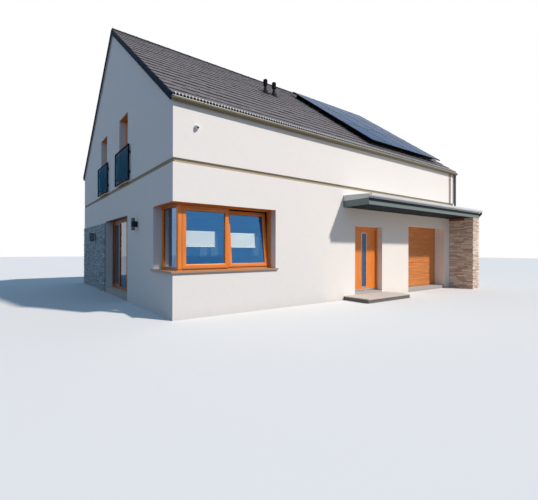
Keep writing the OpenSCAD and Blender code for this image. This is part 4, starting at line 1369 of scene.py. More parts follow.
@dataclass
class Vents:
    """The capped vent pipes on the front slope."""

    pipe_r: float = 0.050
    cap_h: float = 0.22
    crown_h: float = 0.03
    ribs: int = 5
    rib_in: float = 0.010
    rib_share: float = 0.6
    crown: Outline = ((1.0, -0.02), (0.85, -0.005), (0.3, 0.0))
    collar: Outline = ((0.118, -0.09), (0.118, -0.02), (0.062, 0.13), (0.062, 0.15), (0.050, 0.154))
    pipe_in: float = 0.02
    sunk: float = 0.06
    skirt_l: float = 0.30
    skirt_t: float = 0.014

    def build(self) -> None:
        """Turn each pipe with its cap, its collar and its skirt on the tiles."""
        made, slope, step = Shape(), Slope(), (self.cap_h - self.crown_h) / self.ribs
        for points in solids("vent_pipes"):
            top = Box.around(points).high.z
            cap = Box.around([point for point in points if point.z > top - NEAR])
            skirt = Box.around(points, slope.axes)
            foot = slope.eaves.z + (cap.centre.y - slope.eaves.y) * math.tan(math.radians(slope.pitch))
            at = move(cap.centre.x, cap.centre.y)
            made.disc(self.pipe_r, foot - self.sunk, top - self.pipe_in, at)
            radius, level = cap.size.x / 2, top - self.cap_h
            inner, outline = radius - self.rib_in, [(self.pipe_r, level), (radius, level)]
            for count in range(1, self.ribs + 1):
                slot, end = level + (count - 1 + self.rib_share) * step, level + count * step
                outline += [(radius, slot), (inner, slot), (inner, end), (radius, end)]
            outline += [(radius * share, top + up) for share, up in self.crown]
            made.turned(outline, at)
            made.turned([(out, foot + up) for out, up in self.collar], at)
            high = (skirt.high.x, skirt.low.y + self.skirt_l, skirt.low.z + self.skirt_t)
            made.block(skirt.low, high, slope.axes)
        made.piece("vent_stacks", VENT, replaces="vent_pipes")


@dataclass
class Sashwork:
    """Windows of one make while they are put together: their wood, rubber and metal."""

    seed: int
    chamfer_w: float = 0.022
    chamfer_d: float = 0.014
    glass_t: float = 0.028
    gasket_w: float = 0.006
    gasket_y: Pair = (-0.004, 0.001)
    split: float = 0.004
    seal: Pair = (0.018, 0.028)
    weather_h: float = 0.022
    weather_out: float = 0.016
    weather_nose: float = 0.004
    weather_end: float = 0.02
    lining_t: float = 0.008
    lining_end: float = 0.001
    lining_in: float = 0.004
    lining_gap: float = 0.0005
    sash_out: float = 0.012
    bevel: float = 0.003

    def __post_init__(self) -> None:
        """Start the three shapes, with seeds that follow each other."""
        self.wood, self.rubber, self.metal = (Shape(seed=self.seed + step) for step in range(3))

    def sash(
        self, width: float, height: float, face: float, depth: float, at: Matrix, back: float = 0.0,
        weather: bool = False,
    ) -> None:
        """Add a sash with its gaskets.

        Args:
            width: Its width.
            height: Its height.
            face: The width of its bars.
            depth: Where the inner face of its bars lies.
            at: The frame at its lower left outer corner.
            back: Where the outer face of its bars lies.
            weather: True if it carries a weather bar.
        """
        split, lap = self.split, face - LAP
        inner = face - split
        cut = min(self.chamfer_w, 0.4 * inner)
        section = [
            (0, back), (inner - cut, back), (inner, back + self.chamfer_d),
            (inner, depth - self.chamfer_d), (inner - cut / 2, depth), (0, depth),
        ]
        self.wood.frame_ring(width - 2 * split, height - 2 * split, section, at @ move(split, 0, split))
        near, far = self.seal
        self.rubber.frame_ring(width, height, bar_section(split, back + near, back + far), at)
        near, far = ((depth - self.glass_t) / 2 + edge for edge in self.gasket_y)
        section = bar_section(self.gasket_w, near, far)
        self.rubber.frame_ring(width - 2 * lap, height - 2 * lap, section, at @ move(lap, 0, lap))
        if weather:
            out, nose = -self.weather_out, self.weather_nose
            outline = [(0.0, 0.0), (out, 0.0), (out, nose), (0.0, self.weather_h)]
            self.metal.prism(outline, self.weather_end, width - self.weather_end, at @ move(z=split))

    def lining(self, width: float, top: float, inset: float, at: Matrix) -> None:
        """Add a board under a reveal's head, by its length, its top and the frame's depth in the wall."""
        low = (self.lining_end, self.lining_in - inset, top - self.lining_t)
        self.wood.block(low, (width - self.lining_end, self.sash_out, top - self.lining_gap), at, Grain.X)

    def place(self, names: Sequence[str], finish: Finish, node: str, body: str = HOUSE) -> None:
        """Make the pieces.

        Args:
            names: Their names: of the wood, the rubber and, where there are any, the weather bars.
            finish: The wood's finish.
            node: The fixed node that the wood stands for.
            body: The body that they ride on.
        """
        self.wood.piece(names[0], finish, body, node, self.bevel)
        for name, shape, coat in zip(names[1:], (self.rubber, self.metal), (GASKET, WEATHER_BAR)):
            shape.piece(name, coat, body)


@dataclass
class Joinery:
    """The wooden windows with their linings, sills and blinds."""

    face: float = 0.075
    head: float = 0.040
    sash_face: float = 0.110
    bead_face: float = 0.025
    sash_out: float = 0.012
    inset: float = 0.205
    wide_window: float = 1.2
    tilt: float = 6.0
    leaf_gap: float = 0.009
    seat: float = 0.0003
    blind_w: float = 0.75
    blind_h: float = 0.37
    blind_up: float = 0.40
    blind_gap: float = 0.004
    folds: int = 18
    fold_d: float = 0.02
    fold_in: float = 0.001
    cloth_t: float = 0.0008
    rail: float = 0.018
    rail_in: float = 0.002
    cap_t: float = 0.005
    cap_lap: float = 0.002
    cap_d: float = 0.044
    cap_up: float = 0.004

    def build(self) -> None:
        """Build all windows and their sills, and dress the panes."""
        work = Sashwork(61)
        for points in solids("window_frames"):
            at, size = stand(points, side_of(points))
            work.wood.frame_ring(size.x, size.z, bar_section(self.face, self.sash_out, size.y), at)
            sashes = 2 if size.x > self.wide_window else 1
            bay = (size.x - 2 * self.face) / sashes
            for count in range(sashes):
                foot = at @ move(self.face + count * bay, 0, self.face)
                work.sash(bay, size.z - 2 * self.face, self.sash_face, size.y, foot, weather=True)
            if sashes == 1:
                work.lining(size.x, size.z, self.inset, at)
        work.place(("window_joinery", "window_gaskets", "window_weather_bars"), OAK, "window_frames")
        dress(GLASS, "corner_window_glass")
        dress(SHADED_FAR_GLASS, "window_glass", "terrace_leaf_glass")
        dress(DOOR_GLASS, "front_door_glass")
        self.corner_window()
        self.sills()

    def corner_window(self) -> None:
        """The corner window: post, frames, fixed sashes, the tilted sash and the blinds."""
        work, face, out = Sashwork(71), self.face, self.sash_out
        points = corners("corner_window_frame")
        front, size = stand(points, Side.FRONT)
        left, _ = stand(points, Side.LEFT)
        gap = Box.of("corner_window_glass").low.y - Box.around(points).low.y
        post = 2 * gap + work.glass_t
        top = size.z - self.head
        bay, bay_h = (size.x - post - face) / 2, top - face
        work.wood.block((0, 0, face), (post, post, top), front)
        for low, up in ((0.0, face), (top, size.z)):
            work.wood.block((0, out, low), (size.x, post, up), front, Grain.X)
            work.wood.block((0, out, low), (size.y - post, post, up), left, Grain.X)
        work.wood.block((size.x - face, out, face), (size.x, post, top), front)
        work.wood.block((0, out, face), (face, post, top), left)
        work.sash(bay, bay_h, self.sash_face, post, front @ move(post, 0, face), weather=True)
        work.sash(size.y - post - face, bay_h, self.bead_face, post, left @ move(face, 0, face))
        work.lining(size.x, size.z, self.inset, front)
        work.lining(size.y + self.inset - work.lining_in, size.z, self.inset, left)
        names = ("corner_joinery", "corner_gaskets", "corner_weather_bars")
        work.place(names, OAK, "corner_window_frame")
        self.tilted_sash(front @ move(post + bay, 0, face), bay, bay_h, post)

    def tilted_sash(self, bay_foot: Matrix, bay: float, bay_h: float, post: float) -> None:
        """The sash that leans into the room about its foot, and both blinds.

        Args:
            bay_foot: The frame at its bay's lower left outer corner.
            bay: The bay's width.
            bay_h: The bay's height.
            post: The depth of the fixed sash beside it.
        """
        work, gap, depth = Sashwork(81), self.leaf_gap, post - self.sash_out
        at = bay_foot @ move(gap, post, self.seat) @ spin(-self.tilt, "X") @ move(y=-depth)
        face = self.sash_face - gap
        work.sash(bay - 2 * gap, bay_h - 2 * gap, face, depth, at, weather=True)
        work.place(("tilted_joinery", "tilted_gasket", "tilted_weather_bar"), OAK, "tilted_sash")
        deep, rail = self.fold_d, self.rail
        pitch = (self.blind_h - 2 * rail) / self.folds
        near, far = self.fold_in, deep - self.fold_in
        outer = [(near, 0), (far, pitch / 2), (near, pitch)]
        inner = [(y + self.cloth_t, z) for y, z in reversed(outer)]
        blinds = Shape(seed=85)
        for foot, width, back in ((bay_foot @ move(-bay), self.sash_face, post), (at, face, depth)):
            pane = (back + work.glass_t) / 2 + self.blind_gap
            corner = foot @ move(width + self.seat, pane, width + self.blind_up)
            for level in (0.0, self.blind_h - rail):
                high = (self.blind_w, deep - self.rail_in, level + rail)
                blinds.block((0, self.rail_in, level), high, corner, Grain.X)
            for count in range(self.folds):
                blinds.prism(outer + inner, 0, self.blind_w, corner @ move(z=rail + count * pitch))
        blinds.piece("pleated_blinds_folds", BLIND, replaces="pleated_blinds")

    def sills(self) -> None:
        """Dress the sills and cap the ends of their ears."""
        dress(SILL, "window_sills", "corner_window_sill")
        ends = [(points, side_of(points), (True, True)) for points in solids("window_sills")]
        corner = corners("corner_window_sill")
        ends += [(corner, Side.FRONT, (False, True)), (corner, Side.LEFT, (True, False))]
        caps = Shape(seed=86)
        for points, side, wanted in ends:
            box = Box.around(points, side.matrix())
            for edge in (x for x, there in zip((box.low.x, box.high.x), wanted) if there):
                low = (edge - self.cap_t, box.low.y - self.cap_lap, box.low.z - self.cap_lap)
                high = (edge + self.cap_t, box.low.y + self.cap_d, box.high.z + self.cap_up)
                caps.block(low, high, side.matrix())
        caps.piece("sill_end_caps", SILL_CAP, bevel=0.001)


@dataclass
class TerraceDoor:
    """The terrace door: a frame with two fixed bays and a leaf that opens inwards."""

    face: float = 0.075
    bead_face: float = 0.025
    bead_back: float = 0.004
    stop_w: float = 0.020
    stop_t: float = 0.018
    inset: float = 0.24
    bays: int = 3

    def build(self) -> None:
        """Build the frame, the fixed bays and the leaf."""
        at, size = stand(corners("terrace_door_frame"), Side.LEFT)
        face, bay_h = self.face, size.z - 2 * self.face
        bay = (size.x - (self.bays + 1) * face) / self.bays
        work = Sashwork(91)
        work.wood.frame_ring(size.x, size.z, bar_section(face, 0, size.y), at)
        stop = bar_section(self.stop_w, 0, self.stop_t)
        work.wood.frame_ring(bay, bay_h, stop, at @ move(face, 0, face))
        for count in range(1, self.bays):
            left = count * (bay + face)
            work.wood.block((left, 0, face), (left + face, size.y, size.z - face), at)
            foot = at @ move(left + face, 0, face)
            work.sash(bay, bay_h, self.bead_face, size.y, foot, self.bead_back)
        work.lining(size.x, size.z, self.inset, at)
        names = ("terrace_frame_joinery", "terrace_frame_gaskets")
        # The terrace door's dark wood is painted shade.
        work.place(names, SHADED_OAK, "terrace_door_frame")
        at, size = stand(corners("terrace_leaf"), Side.LEFT)
        leaf = Sashwork(93)
        leaf.sash(size.x, size.z, face, size.y, at)
        names = ("terrace_leaf_joinery", "terrace_leaf_gasket")
        leaf.place(names, SHADED_OAK, "terrace_leaf", TERRACE_DOOR)
        dress(STEEL, "terrace_leaf_fittings", "door_hinges")


@dataclass
class FrontDoor:
    """The front door: a frame with stops, a metal threshold and a leaf with a glass strip."""

    face: float = 0.075
    stop_w: float = 0.020
    stop_t: float = 0.018
    sill_h: float = 0.020
    grooves: int = 4
    groove_y: float = 0.012
    groove_pitch: float = 0.018
    groove_w: float = 0.008
    groove_h: float = 0.003
    groove_end: float = 0.005
    kick_end: float = 0.01
    kick_out: float = 0.008
    kick_z: Pair = (0.002, 0.05)
    trim_w: float = 0.012
    trim_in: float = 0.012
    trim_out: float = 0.003

    def build(self) -> None:
        """Build the frame and the leaf."""
        at, size = stand(corners("front_door_frame"), Side.FRONT)
        face, foot, top = self.face, self.sill_h, size.z - self.face
        wood, metal = Shape(seed=101), Shape(seed=102)
        for left in (0.0, size.x - face):
            wood.block((left, 0, foot), (left + face, size.y, size.z), at)
        wood.block((face, 0, top), (size.x - face, size.y, size.z), at, Grain.X)
        for left in (face, size.x - face - self.stop_w):
            wood.block((left, 0, foot), (left + self.stop_w, self.stop_t, top), at)
        wood.block((face, 0, top - self.stop_w), (size.x - face, self.stop_t, top), at, Grain.X)
        wood.piece("front_frame_joinery", OAK, replaces="front_door_frame", bevel=0.003)
        metal.block((0, 0, 0), (size.x, size.y, foot), at, Grain.X)
        for groove in range(self.grooves):
            near = self.groove_y + groove * self.groove_pitch
            high = (size.x - self.groove_end, near + self.groove_w, foot + self.groove_h)
            metal.block((self.groove_end, near, foot), high, at, Grain.X)
        metal.piece("front_threshold", STEEL, bevel=0.002)
        self.leaf()
        dress(STEEL, "front_door_fittings")

    def leaf(self) -> None:
        """The moving leaf: four boards round the glass strip, with metal trims."""
        at, size = stand(corners("front_door_leaf"), Side.FRONT)
        strip = Box.of("front_door_glass", at)
        (left, _, low), (right, _, high) = strip.low, strip.high
        wood, metal = Shape(seed=103), Shape(seed=104)
        wood.block((0, 0, 0), (left, size.y, size.z), at)
        wood.block((right, 0, 0), size, at)
        wood.block((left, 0, 0), (right, size.y, low), at)
        wood.block((left, 0, high), (right, size.y, size.z), at)
        wood.piece("front_leaf_joinery", OAK, FRONT_DOOR, "front_door_leaf", bevel=0.0015)
        wide, out = self.trim_w, self.trim_out
        corner = at @ move(left - wide / 2, 0, low - wide / 2)
        for near, far in ((-out, self.trim_in), (size.y - self.trim_in, size.y + out)):
            metal.frame_ring(right - left + wide, high - low + wide, bar_section(wide, near, far), corner)
        end, (foot, head) = self.kick_end, self.kick_z
        metal.block((end, -self.kick_out, foot), (size.x - end, 0, head), at, Grain.X)
        metal.piece("front_leaf_trims", STEEL, FRONT_DOOR, bevel=0.001)


@dataclass
class GarageDoor:
    """The sectional garage door: sections of two ribs each, with a groove between them."""

    ribs: int = 10
    groove: float = 0.022
    fine_groove: float = 0.004
    groove_d: float = 0.012
    lintel_off: float = 0.2

    def build(self) -> None:
        """Build the ribs in front of a backing."""
        at, size = stand(corners("garage_door"), Side.FRONT)
        door = Box.of("garage_door")
        lintels = map(Box.around, solids("door_lintels"))
        head = min(box.low.z for box in lintels if abs(box.centre.x - door.centre.x) < self.lintel_off)
        pitch = (head - door.low.z) / self.ribs
        made = Shape(seed=111)
        made.block((0, self.groove_d, 0), size, at, Grain.X)
        for count in range(math.ceil((size.z - self.groove) / pitch)):
            below, above = (self.fine_groove, self.groove) if count % 2 else (self.groove, self.fine_groove)
            high = min((count + 1) * pitch - above / 2, size.z)
            low = (0, 0, count * pitch + below / 2)
            made.block(low, (size.x, self.groove_d + LAP, high), at, Grain.X)
        made.piece("garage_door_ribs", GARAGE_OAK, replaces="garage_door", bevel=0.003)


@dataclass
class Ledgers:
    """Ledger stones laid in thin rough courses on the pier and on the gable's panel."""

    course: Pair = (0.030, 0.065)
    length: Pair = (0.14, 0.42)
    joint: float = 0.006
    core_in: float = 0.03
    bed: float = 0.005
    proud: Pair = (0.0, 0.018)
    rough: float = 0.004
    rim_dip: Pair = (0.3, 1.0)
    face_dip: Pair = (-0.2, 0.5)
    facet: float = 0.09

    def build(self) -> None:
        """Clad the pier and the panel."""
        pier, deep = Box.of("stone_pier"), self.core_in
        made, core = Shape(seed=121), Shape(seed=123)
        core.block(pier.low + Vector((deep, deep, 0)), (pier.high.x - deep, pier.high.y, pier.high.z))
        core.piece("pier_core", STONE_JOINT)
        for side, near, far in ((Side.FRONT, 0, 0), (Side.LEFT, 0, deep), (Side.RIGHT, deep, 0)):
            self.clad(made, "stone_pier", side, (near, far))
        made.piece("pier_ledgers", PIER_STONE, replaces="stone_pier")
        axes = Side.LEFT.matrix()
        panel = Box.of("stone_panel", axes)
        made, core = Shape(seed=122), Shape(seed=124)
        core.block(panel.low + Vector((0, deep, 0)), panel.high, axes)
        core.piece("panel_core", PANEL_JOINT)
        self.clad(made, "stone_panel", Side.LEFT, (0, 0))
        # The panel's blue-grey stone carries painted shade.
        made.piece("panel_ledgers", SHADE_TINTED_PANEL_STONE, replaces="stone_panel")

    @staticmethod
    def runs(
        draw: random.Random, low: float, high: float, sizes: Pair,
    ) -> Iterable[Sequence[float]]:
        """Split a length at random into parts, the last of which isn't left too short.

        Args:
            draw: The random draws.
            low: Where it starts.
            high: Where it ends.
            sizes: The least and the greatest length of a part.

        Returns:
            The start and the end of each part, one after the other.
        """
        while low < high - 1e-3:
            size = draw.uniform(*sizes)
            if high - low - size < sizes[0]:
                size = high - low
            yield low, low + size
            low += size

    def clad(self, made: Shape, node: str, side: Side, ends: Pair) -> None:
        """Lay stones over a face of a fixed node.

        Args:
            made: The shape that takes them.
            node: The node.
            side: The side that the face looks to.
            ends: How far short of the face's left and right end the courses stop.
        """
        box, draw, joint = Box.of(node, side.matrix()), made.draw, self.joint / 2
        near, far = box.low.x + ends[0], box.high.x - ends[1]
        front, back = box.low.y, box.low.y + self.core_in + self.bed
        for foot, head in self.runs(draw, box.low.z, box.high.z, self.course):
            levels = (foot + joint, (foot + head) / 2, head - joint)
            for start, end in self.runs(draw, near, far, self.length):
                out, left, right = front + draw.uniform(*self.proud), start + joint, end - joint
                columns = max(2, round((end - start) / self.facet))
                points = []
                for row, z in enumerate(levels):
                    for column in range(columns + 1):
                        rim = row != 1 or column in (0, columns)
                        dip = draw.uniform(*(self.rim_dip if rim else self.face_dip)) * self.rough
                        x = left + (right - left) * column / columns
                        points.append(Vector((x, max(out + dip, front), z)))
                self.stone(made, points, columns + 1, back, side)

    @staticmethod
    def stone(made: Shape, points: list[Vector], wide: int, back: float, side: Side) -> None:
        """Add a stone behind its rough face.

        Args:
            made: The shape that takes it.
            points: The face's points in three rows.
            wide: The number of points in a row.
            back: The depth of its back.
            side: The side that it looks to.
        """
        starts = [row * wide + column for row in (0, 1) for column in range(wide - 1)]
        faces = [(i, i + 1, i + wide + 1, i + wide) for i in starts]
        rim = [*range(wide), 2 * wide - 1, *reversed(range(2 * wide, 3 * wide)), wide]
        start, size = len(points), len(rim)
        points += [Vector((points[index].x, back, points[index].z)) for index in rim]
        faces += [(rim[i], start + i, start + (i + 1) % size, rim[(i + 1) % size]) for i in range(size)]
        faces.append(tuple(range(start, start + size)))
        made.add(points, faces, side.matrix(), Grain.X)


@dataclass
class Canopy:
    """The entrance canopy: soffit boards, fascias, flashing, seams, gutter and drain."""

    board_w: float = 0.12
    board_gap: float = 0.006
    board_t: float = 0.006
    seam_pitch: float = 0.60
    seam_h: float = 0.024
    seam_w: float = 0.012
    seam_from: float = 0.1
    bead_r: float = 0.007
    skin: float = 0.004
    # How far the gutter's painted shadow reaches down the fascia.
    painted_shadow_h: float = 0.085
    drain_r: float = 0.035
    drain_drop: float = 0.062
    drain_run: float = 0.32
    drain_sides: int = 24
    collar_h: float = 0.03
    collar_out: float = 0.004
    collar_z: Pair = (0.30, 1.55)
    collar_drop: float = 0.12
    bearer_y: float = 0.34
    bearer_z: Pair = (-0.10, -0.008)
    bearer_x: Pair = (-0.012, 0.01)

    def build(self) -> None:
        """Dress the canopy's solids and add its small parts."""
        dress(SOFFIT, "canopy_roof")
        dress(FASCIA, "canopy_fascia")
        dress(FLASHING, "canopy_flashing")
        self.soffit()
        self.seams()
        self.gutter()
        self.bearer()

    def soffit(self) -> None:
        """Boards along the canopy's underside."""
        box = Box.of("canopy_roof")
        board, made = Shape(), Shape()
        board.block((0, -box.size.x, -self.board_t), (self.board_w - self.board_gap, 0, 0), along=Grain.Y)
        at = move(box.low.x, box.low.y, box.low.z + LAP) @ spin(90, "Z")
        count = int(box.size.y / self.board_w)
        made.rows(board, SOFFIT, (count, 1), (self.board_w, 0.0), at, seed=131)
        made.piece("canopy_soffit_boards", SOFFIT)

    def seams(self) -> None:
        """Standing seams that run down the canopy's top, and the sheet under them."""
        box = Box.of("canopy_roof")
        front = max(point.z for point in corners("canopy_roof") if point.y < box.low.y + NEAR)
        rise = box.high.z - front
        deep = box.size.y
        seam, sheet = (
            [(0, 0), (deep, rise), (deep, rise + high), (0, high)] for high in (self.seam_h, self.skin / 2)
        )
        one, made = Shape(), Shape(seed=137)
        one.prism(seam, 0, self.seam_w)
        at = move(box.low.x, box.low.y, front)
        count = int(box.size.x / self.seam_pitch)
        made.rows(one, FLASHING, (count, 1), (self.seam_pitch, 0.0), at @ move(self.seam_from), seed=132)
        made.prism(sheet, 0, box.size.x, at)
        made.piece("canopy_seams", FLASHING)

    def gutter(self) -> None:
        """The half-round trough with its end plates and bead, a dark board that paints the gutter's shadow on
        the fascia, and the drain.
        """
        box, fascia = Box.of("canopy_gutter"), Box.of("canopy_fascia")
        half, rim, near, far = (fascia.low.y - box.low.y) / 2, box.high.z, box.low.x, box.high.x
        middle = box.low.y + half

        def bowl(radius: float) -> list[Pair]:
            """The trough's outline from rim to rim.

            Args:
                radius: Its radius.

            Returns:
                Its points in Y and Z.
            """
            turns = [math.radians(180 + 10 * step) for step in range(19)]
            arc = [(middle + radius * math.cos(turn), rim - half + radius * math.sin(turn)) for turn in turns]
            return [(arc[0][0], rim), *arc, (arc[-1][0], rim)]

        made, board, drain = Shape(seed=134), Shape(seed=136), Shape(seed=135)
        made.prism(bowl(half) + bowl(half - self.skin)[::-1], near, far)
        for low in (near, far - self.skin):
            made.prism(bowl(half), low, low + self.skin)
        lip = box.low.y + self.bead_r
        made.tube([Vector((x, lip, rim)) for x in (near, far)], self.bead_r, ZINC)
        made.piece("canopy_gutter_trough", ZINC, replaces="canopy_gutter")
        # A dark board over the top of the fascia: the gutter's painted shadow.
        low = (fascia.low.x, fascia.low.y - self.skin + LAP / 2, fascia.high.z - self.painted_shadow_h)
        board.block(low, (far, fascia.low.y + LAP, fascia.high.z), along=Grain.X)
        board.piece("canopy_gutter_shadow_board", SOFFIT)
        radius, run = self.drain_r, self.drain_run
        outlet = Vector((far - radius, middle, rim - 2 * half + 2 * LAP))
        bend = outlet - Vector((0, 0, self.drain_drop))
        elbow = bend + Vector((0, run, -run))
        path, sides = [outlet, bend, elbow, Vector((elbow.x, elbow.y, 0))], self.drain_sides
        drain.tube(path, radius, DRAIN_COAT, sides)
        for height in (*self.collar_z, elbow.z - self.collar_drop):
            at = move(elbow.x, elbow.y, height)
            drain.disc(radius + self.collar_out, 0, self.collar_h, at, sides)
        drain.piece("canopy_drain", DRAIN_COAT)

    def bearer(self) -> None:
        """A timber bearer on the pier under the canopy's end."""
        pier, made = Box.of("stone_pier"), Shape(seed=133)
        (left, right), (low, high) = self.bearer_x, self.bearer_z
        foot = (pier.low.x + left, pier.low.y + self.bearer_y, pier.high.z + low)
        made.block(foot, (pier.low.x + right, pier.high.y, pier.high.z + high), along=Grain.Y)
        # The bearer's dark wood is painted shade.
        made.piece("canopy_bearer", SHADED_OAK, bevel=0.003)


@dataclass
class Railings:
    """The railings of the tall upper windows, with their brackets, plates and bolts."""

    tube: float = 0.04
    bars: int = 7
    bar_h: float = 0.045
    bar_t: float = 0.010
    slat_h: float = 0.030
    plate_half: float = 0.045
    plate_t: float = 0.008
    bolt_r: float = 0.007
    bolt_h: float = 0.005
    bolt_out: float = 0.032

    def build(self) -> None:
        """Build the tube frames with their bars, then the brackets."""
        made, slats = Shape(seed=141), Shape(seed=144)
        tube, near = self.tube, (self.tube - self.bar_t) / 2
        for points in solids("railings"):
            at, size = stand(points, side_of(points))
            made.frame_ring(size.x, size.z, bar_section(tube, 0, tube), at)
            pitch = (size.z - 2 * tube) / (self.bars + 1)
            runs = [(count * pitch, self.bar_h) for count in range(1, self.bars + 1)]
            runs += [((count + 0.5) * pitch, self.slat_h) for count in range(self.bars + 1)]
            for middle, height in runs:
                level = tube + middle - height / 2
                far = (size.x - tube + LAP, near + self.bar_t, level + height)
                slats.block((tube - LAP, near, level), far, at, Grain.X)
        made.piece("railing_frames", RAILING, replaces="railings", bevel=0.002)
        slats.piece("railing_slats", RAILING_SLAT, bevel=0.001)
        self.brackets()

    def brackets(self) -> None:
        """The brackets with their plates and bolts on the wall."""
        made, bolts = Shape(seed=142), Shape(seed=143)
        half, out = self.plate_half, self.bolt_out
        for points in solids("railing_brackets"):
            at, size = stand(points, side_of(points))
            middle, face = size.x / 2, size.y - self.plate_t
            made.block((0, 0, 0), size, at)
            made.block((middle - half, face, middle - half), (middle + half, size.y, middle + half), at)
            for x in (-out, out):
                for z in (-out, out):
                    head = at @ move(middle + x, face, middle + z) @ spin(90, "X")
                    bolts.disc(self.bolt_r, 0, self.bolt_h, head, 6)
        made.piece("railing_bracket_plates", RAILING, replaces="railing_brackets", bevel=0.0015)
        bolts.piece("railing_bolts", STEEL)


@dataclass
class Fittings:
    """The wall lamps, the security camera and the outdoor socket."""

    lamp_half: float = 0.0775
    lamp_arm: float = 0.035
    lamp_cap: float = 0.012
    lamp_rings: int = 3
    ring_half: float = 0.003
    cap_in: float = 0.004
    ring_in: float = 0.002
    pale_in: float = 0.005
    post: float = 0.014
    lantern_foot: float = 0.02
    lantern_head: float = 0.03
    lantern_arm: float = 0.015
    lantern_plate: float = 0.035
    plate_t: float = 0.02
    arm_share: float = 0.75
    arm_t: float = 0.03
    arm_lap: float = 0.01
    crown_h: float = 0.012
    crown_in: float = 0.03
    pane_in: float = 0.008
    camera_r: float = 0.055
    camera_edge: float = 0.008
    camera_sides: int = 40
    dome_r: float = 0.045
    dome_in: float = 0.01
    dome_tip: float = 0.002
    dome_step: int = 12
    lens: Outline = ((0.024, -0.035), (0.024, -0.003), (0.018, 0.002))
    lens_sides: int = 24
    lens_tilt: float = 35.0
    socket_in: float = 0.14
    socket_z: float = 0.32
    socket_half: float = 0.04
    socket_y: Pair = (-0.006, 0.025)
    lid_y: Pair = (-0.012, -0.004)
    lid_in: Triple = (0.006, 0.004, 0.012)

    def build(self) -> None:
        """Build each fitting."""
        self.round_lamp()
        self.lantern()
        self.camera()
        self.socket()

    def round_lamp(self) -> None:
        """A dark block with a ringed glass above and below it."""
        axes, block, arm = Side.LEFT.matrix(), self.lamp_half, self.lamp_arm
        box = Box.of("wall_lamp", axes)
        radius, half = box.size.x / 2, box.size.z / 2
        axis = axes @ move(box.centre.x, box.low.y + radius, box.centre.z)
        dark, pale = Shape(seed=151), Shape(seed=152)
        dark.disc(radius, -block, block, axis)
        cap = half - self.lamp_cap
        for sign in (-1, 1):
            dark.disc(radius - self.cap_in, *sorted((sign * cap, sign * half)), axis)
            for count in range(1, self.lamp_rings + 1):
                level = sign * (block + (cap - block) * count / (self.lamp_rings + 1))
                at = axis @ move(z=level)
                dark.disc(radius - self.ring_in, -self.ring_half, self.ring_half, at)
            pale.disc(radius - self.pale_in, *sorted((sign * block, sign * cap)), axis)
        dark.block((-arm, 0, -block), (arm, box.size.y - radius, block), axis)
        dark.piece("round_lamp_housing", LAMP, replaces="wall_lamp", bevel=0.002)
        pale.piece("round_lamp_glass", LAMP_GLASS)

    def lantern(self) -> None:
        """A square lantern with glass between its corner posts."""
        at, size = stand(corners("wall_lantern"), Side.LEFT)
        wide, post, foot, head = size.x, self.post, self.lantern_foot, size.z - self.lantern_head
        arm, plate, crown = self.lantern_arm, self.lantern_plate, size.z - self.crown_h
        dark, pale = Shape(seed=153), Shape(seed=154)
        for x in (0.0, wide - post):
            for y in (0.0, wide - post):
                dark.block((x, y, foot), (x + post, y + post, head), at)
        parts = (
            (dark, 0.0, 0.0, foot), (dark, 0.0, head, crown), (dark, self.crown_in, crown, size.z),
            (pale, self.pane_in, foot, head),
        )
        for shape, inset, low, high in parts:
            shape.block((inset, inset, low), (wide - inset, wide - inset, high), at)
        middle, level, back = wide / 2, size.z * self.arm_share, size.y - self.plate_t
        low = (middle - arm, wide - self.arm_lap, level)
        dark.block(low, (middle + arm, back, level + self.arm_t), at)
        dark.block((middle - plate, back, 0), (middle + plate, size.y, size.z), at)
        dark.piece("lantern_housing", LAMP, replaces="wall_lantern", bevel=0.002)
        pale.piece("lantern_glass", LAMP_GLASS)

    def camera(self) -> None:
        """A white dome camera with a dark lens."""
        box, base, dome = Box.of("security_camera"), self.camera_r, self.dome_r
        out = move(box.centre.x, box.high.y, box.centre.z) @ spin(90, "X")
        reach, edge, sides = box.size.y - dome, self.camera_edge, self.camera_sides
        white, dark = Shape(seed=155), Shape(seed=156)
        white.turned([(base, 0), (base, reach - edge), (base - edge, reach)], out, sides)
        turns = [math.radians(step) for step in range(0, 90, self.dome_step)]
        arc = [(dome * math.cos(turn), reach + dome * math.sin(turn)) for turn in turns]
        white.turned([(dome, reach - self.dome_in), *arc, (self.dome_tip, reach + dome)], out, sides)
        aim = out @ move(z=reach) @ spin(self.lens_tilt, "X")
        dark.turned([(across, dome + up) for across, up in self.lens], aim, self.lens_sides)
        white.piece("camera_housing", CAMERA_WHITE, replaces="security_camera")
        dark.piece("camera_eye", LENS)

    def socket(self) -> None:
        """A small outdoor socket with a lid on the stone panel."""
        axes, half, made = Side.LEFT.matrix(), self.socket_half, Shape(seed=157)
        panel = Box.of("stone_panel", axes)
        at = axes @ move(panel.high.x - self.socket_in, panel.low.y, self.socket_z)
        (near, far), (side, foot, head) = self.socket_y, self.lid_in
        made.block((-half, near, -half), (half, far, half), at)
        near, far = self.lid_y
        made.block((side - half, near, foot - half), (half - side, far, half - head), at)
        made.piece("outdoor_socket", SILL_CAP, bevel=0.002)


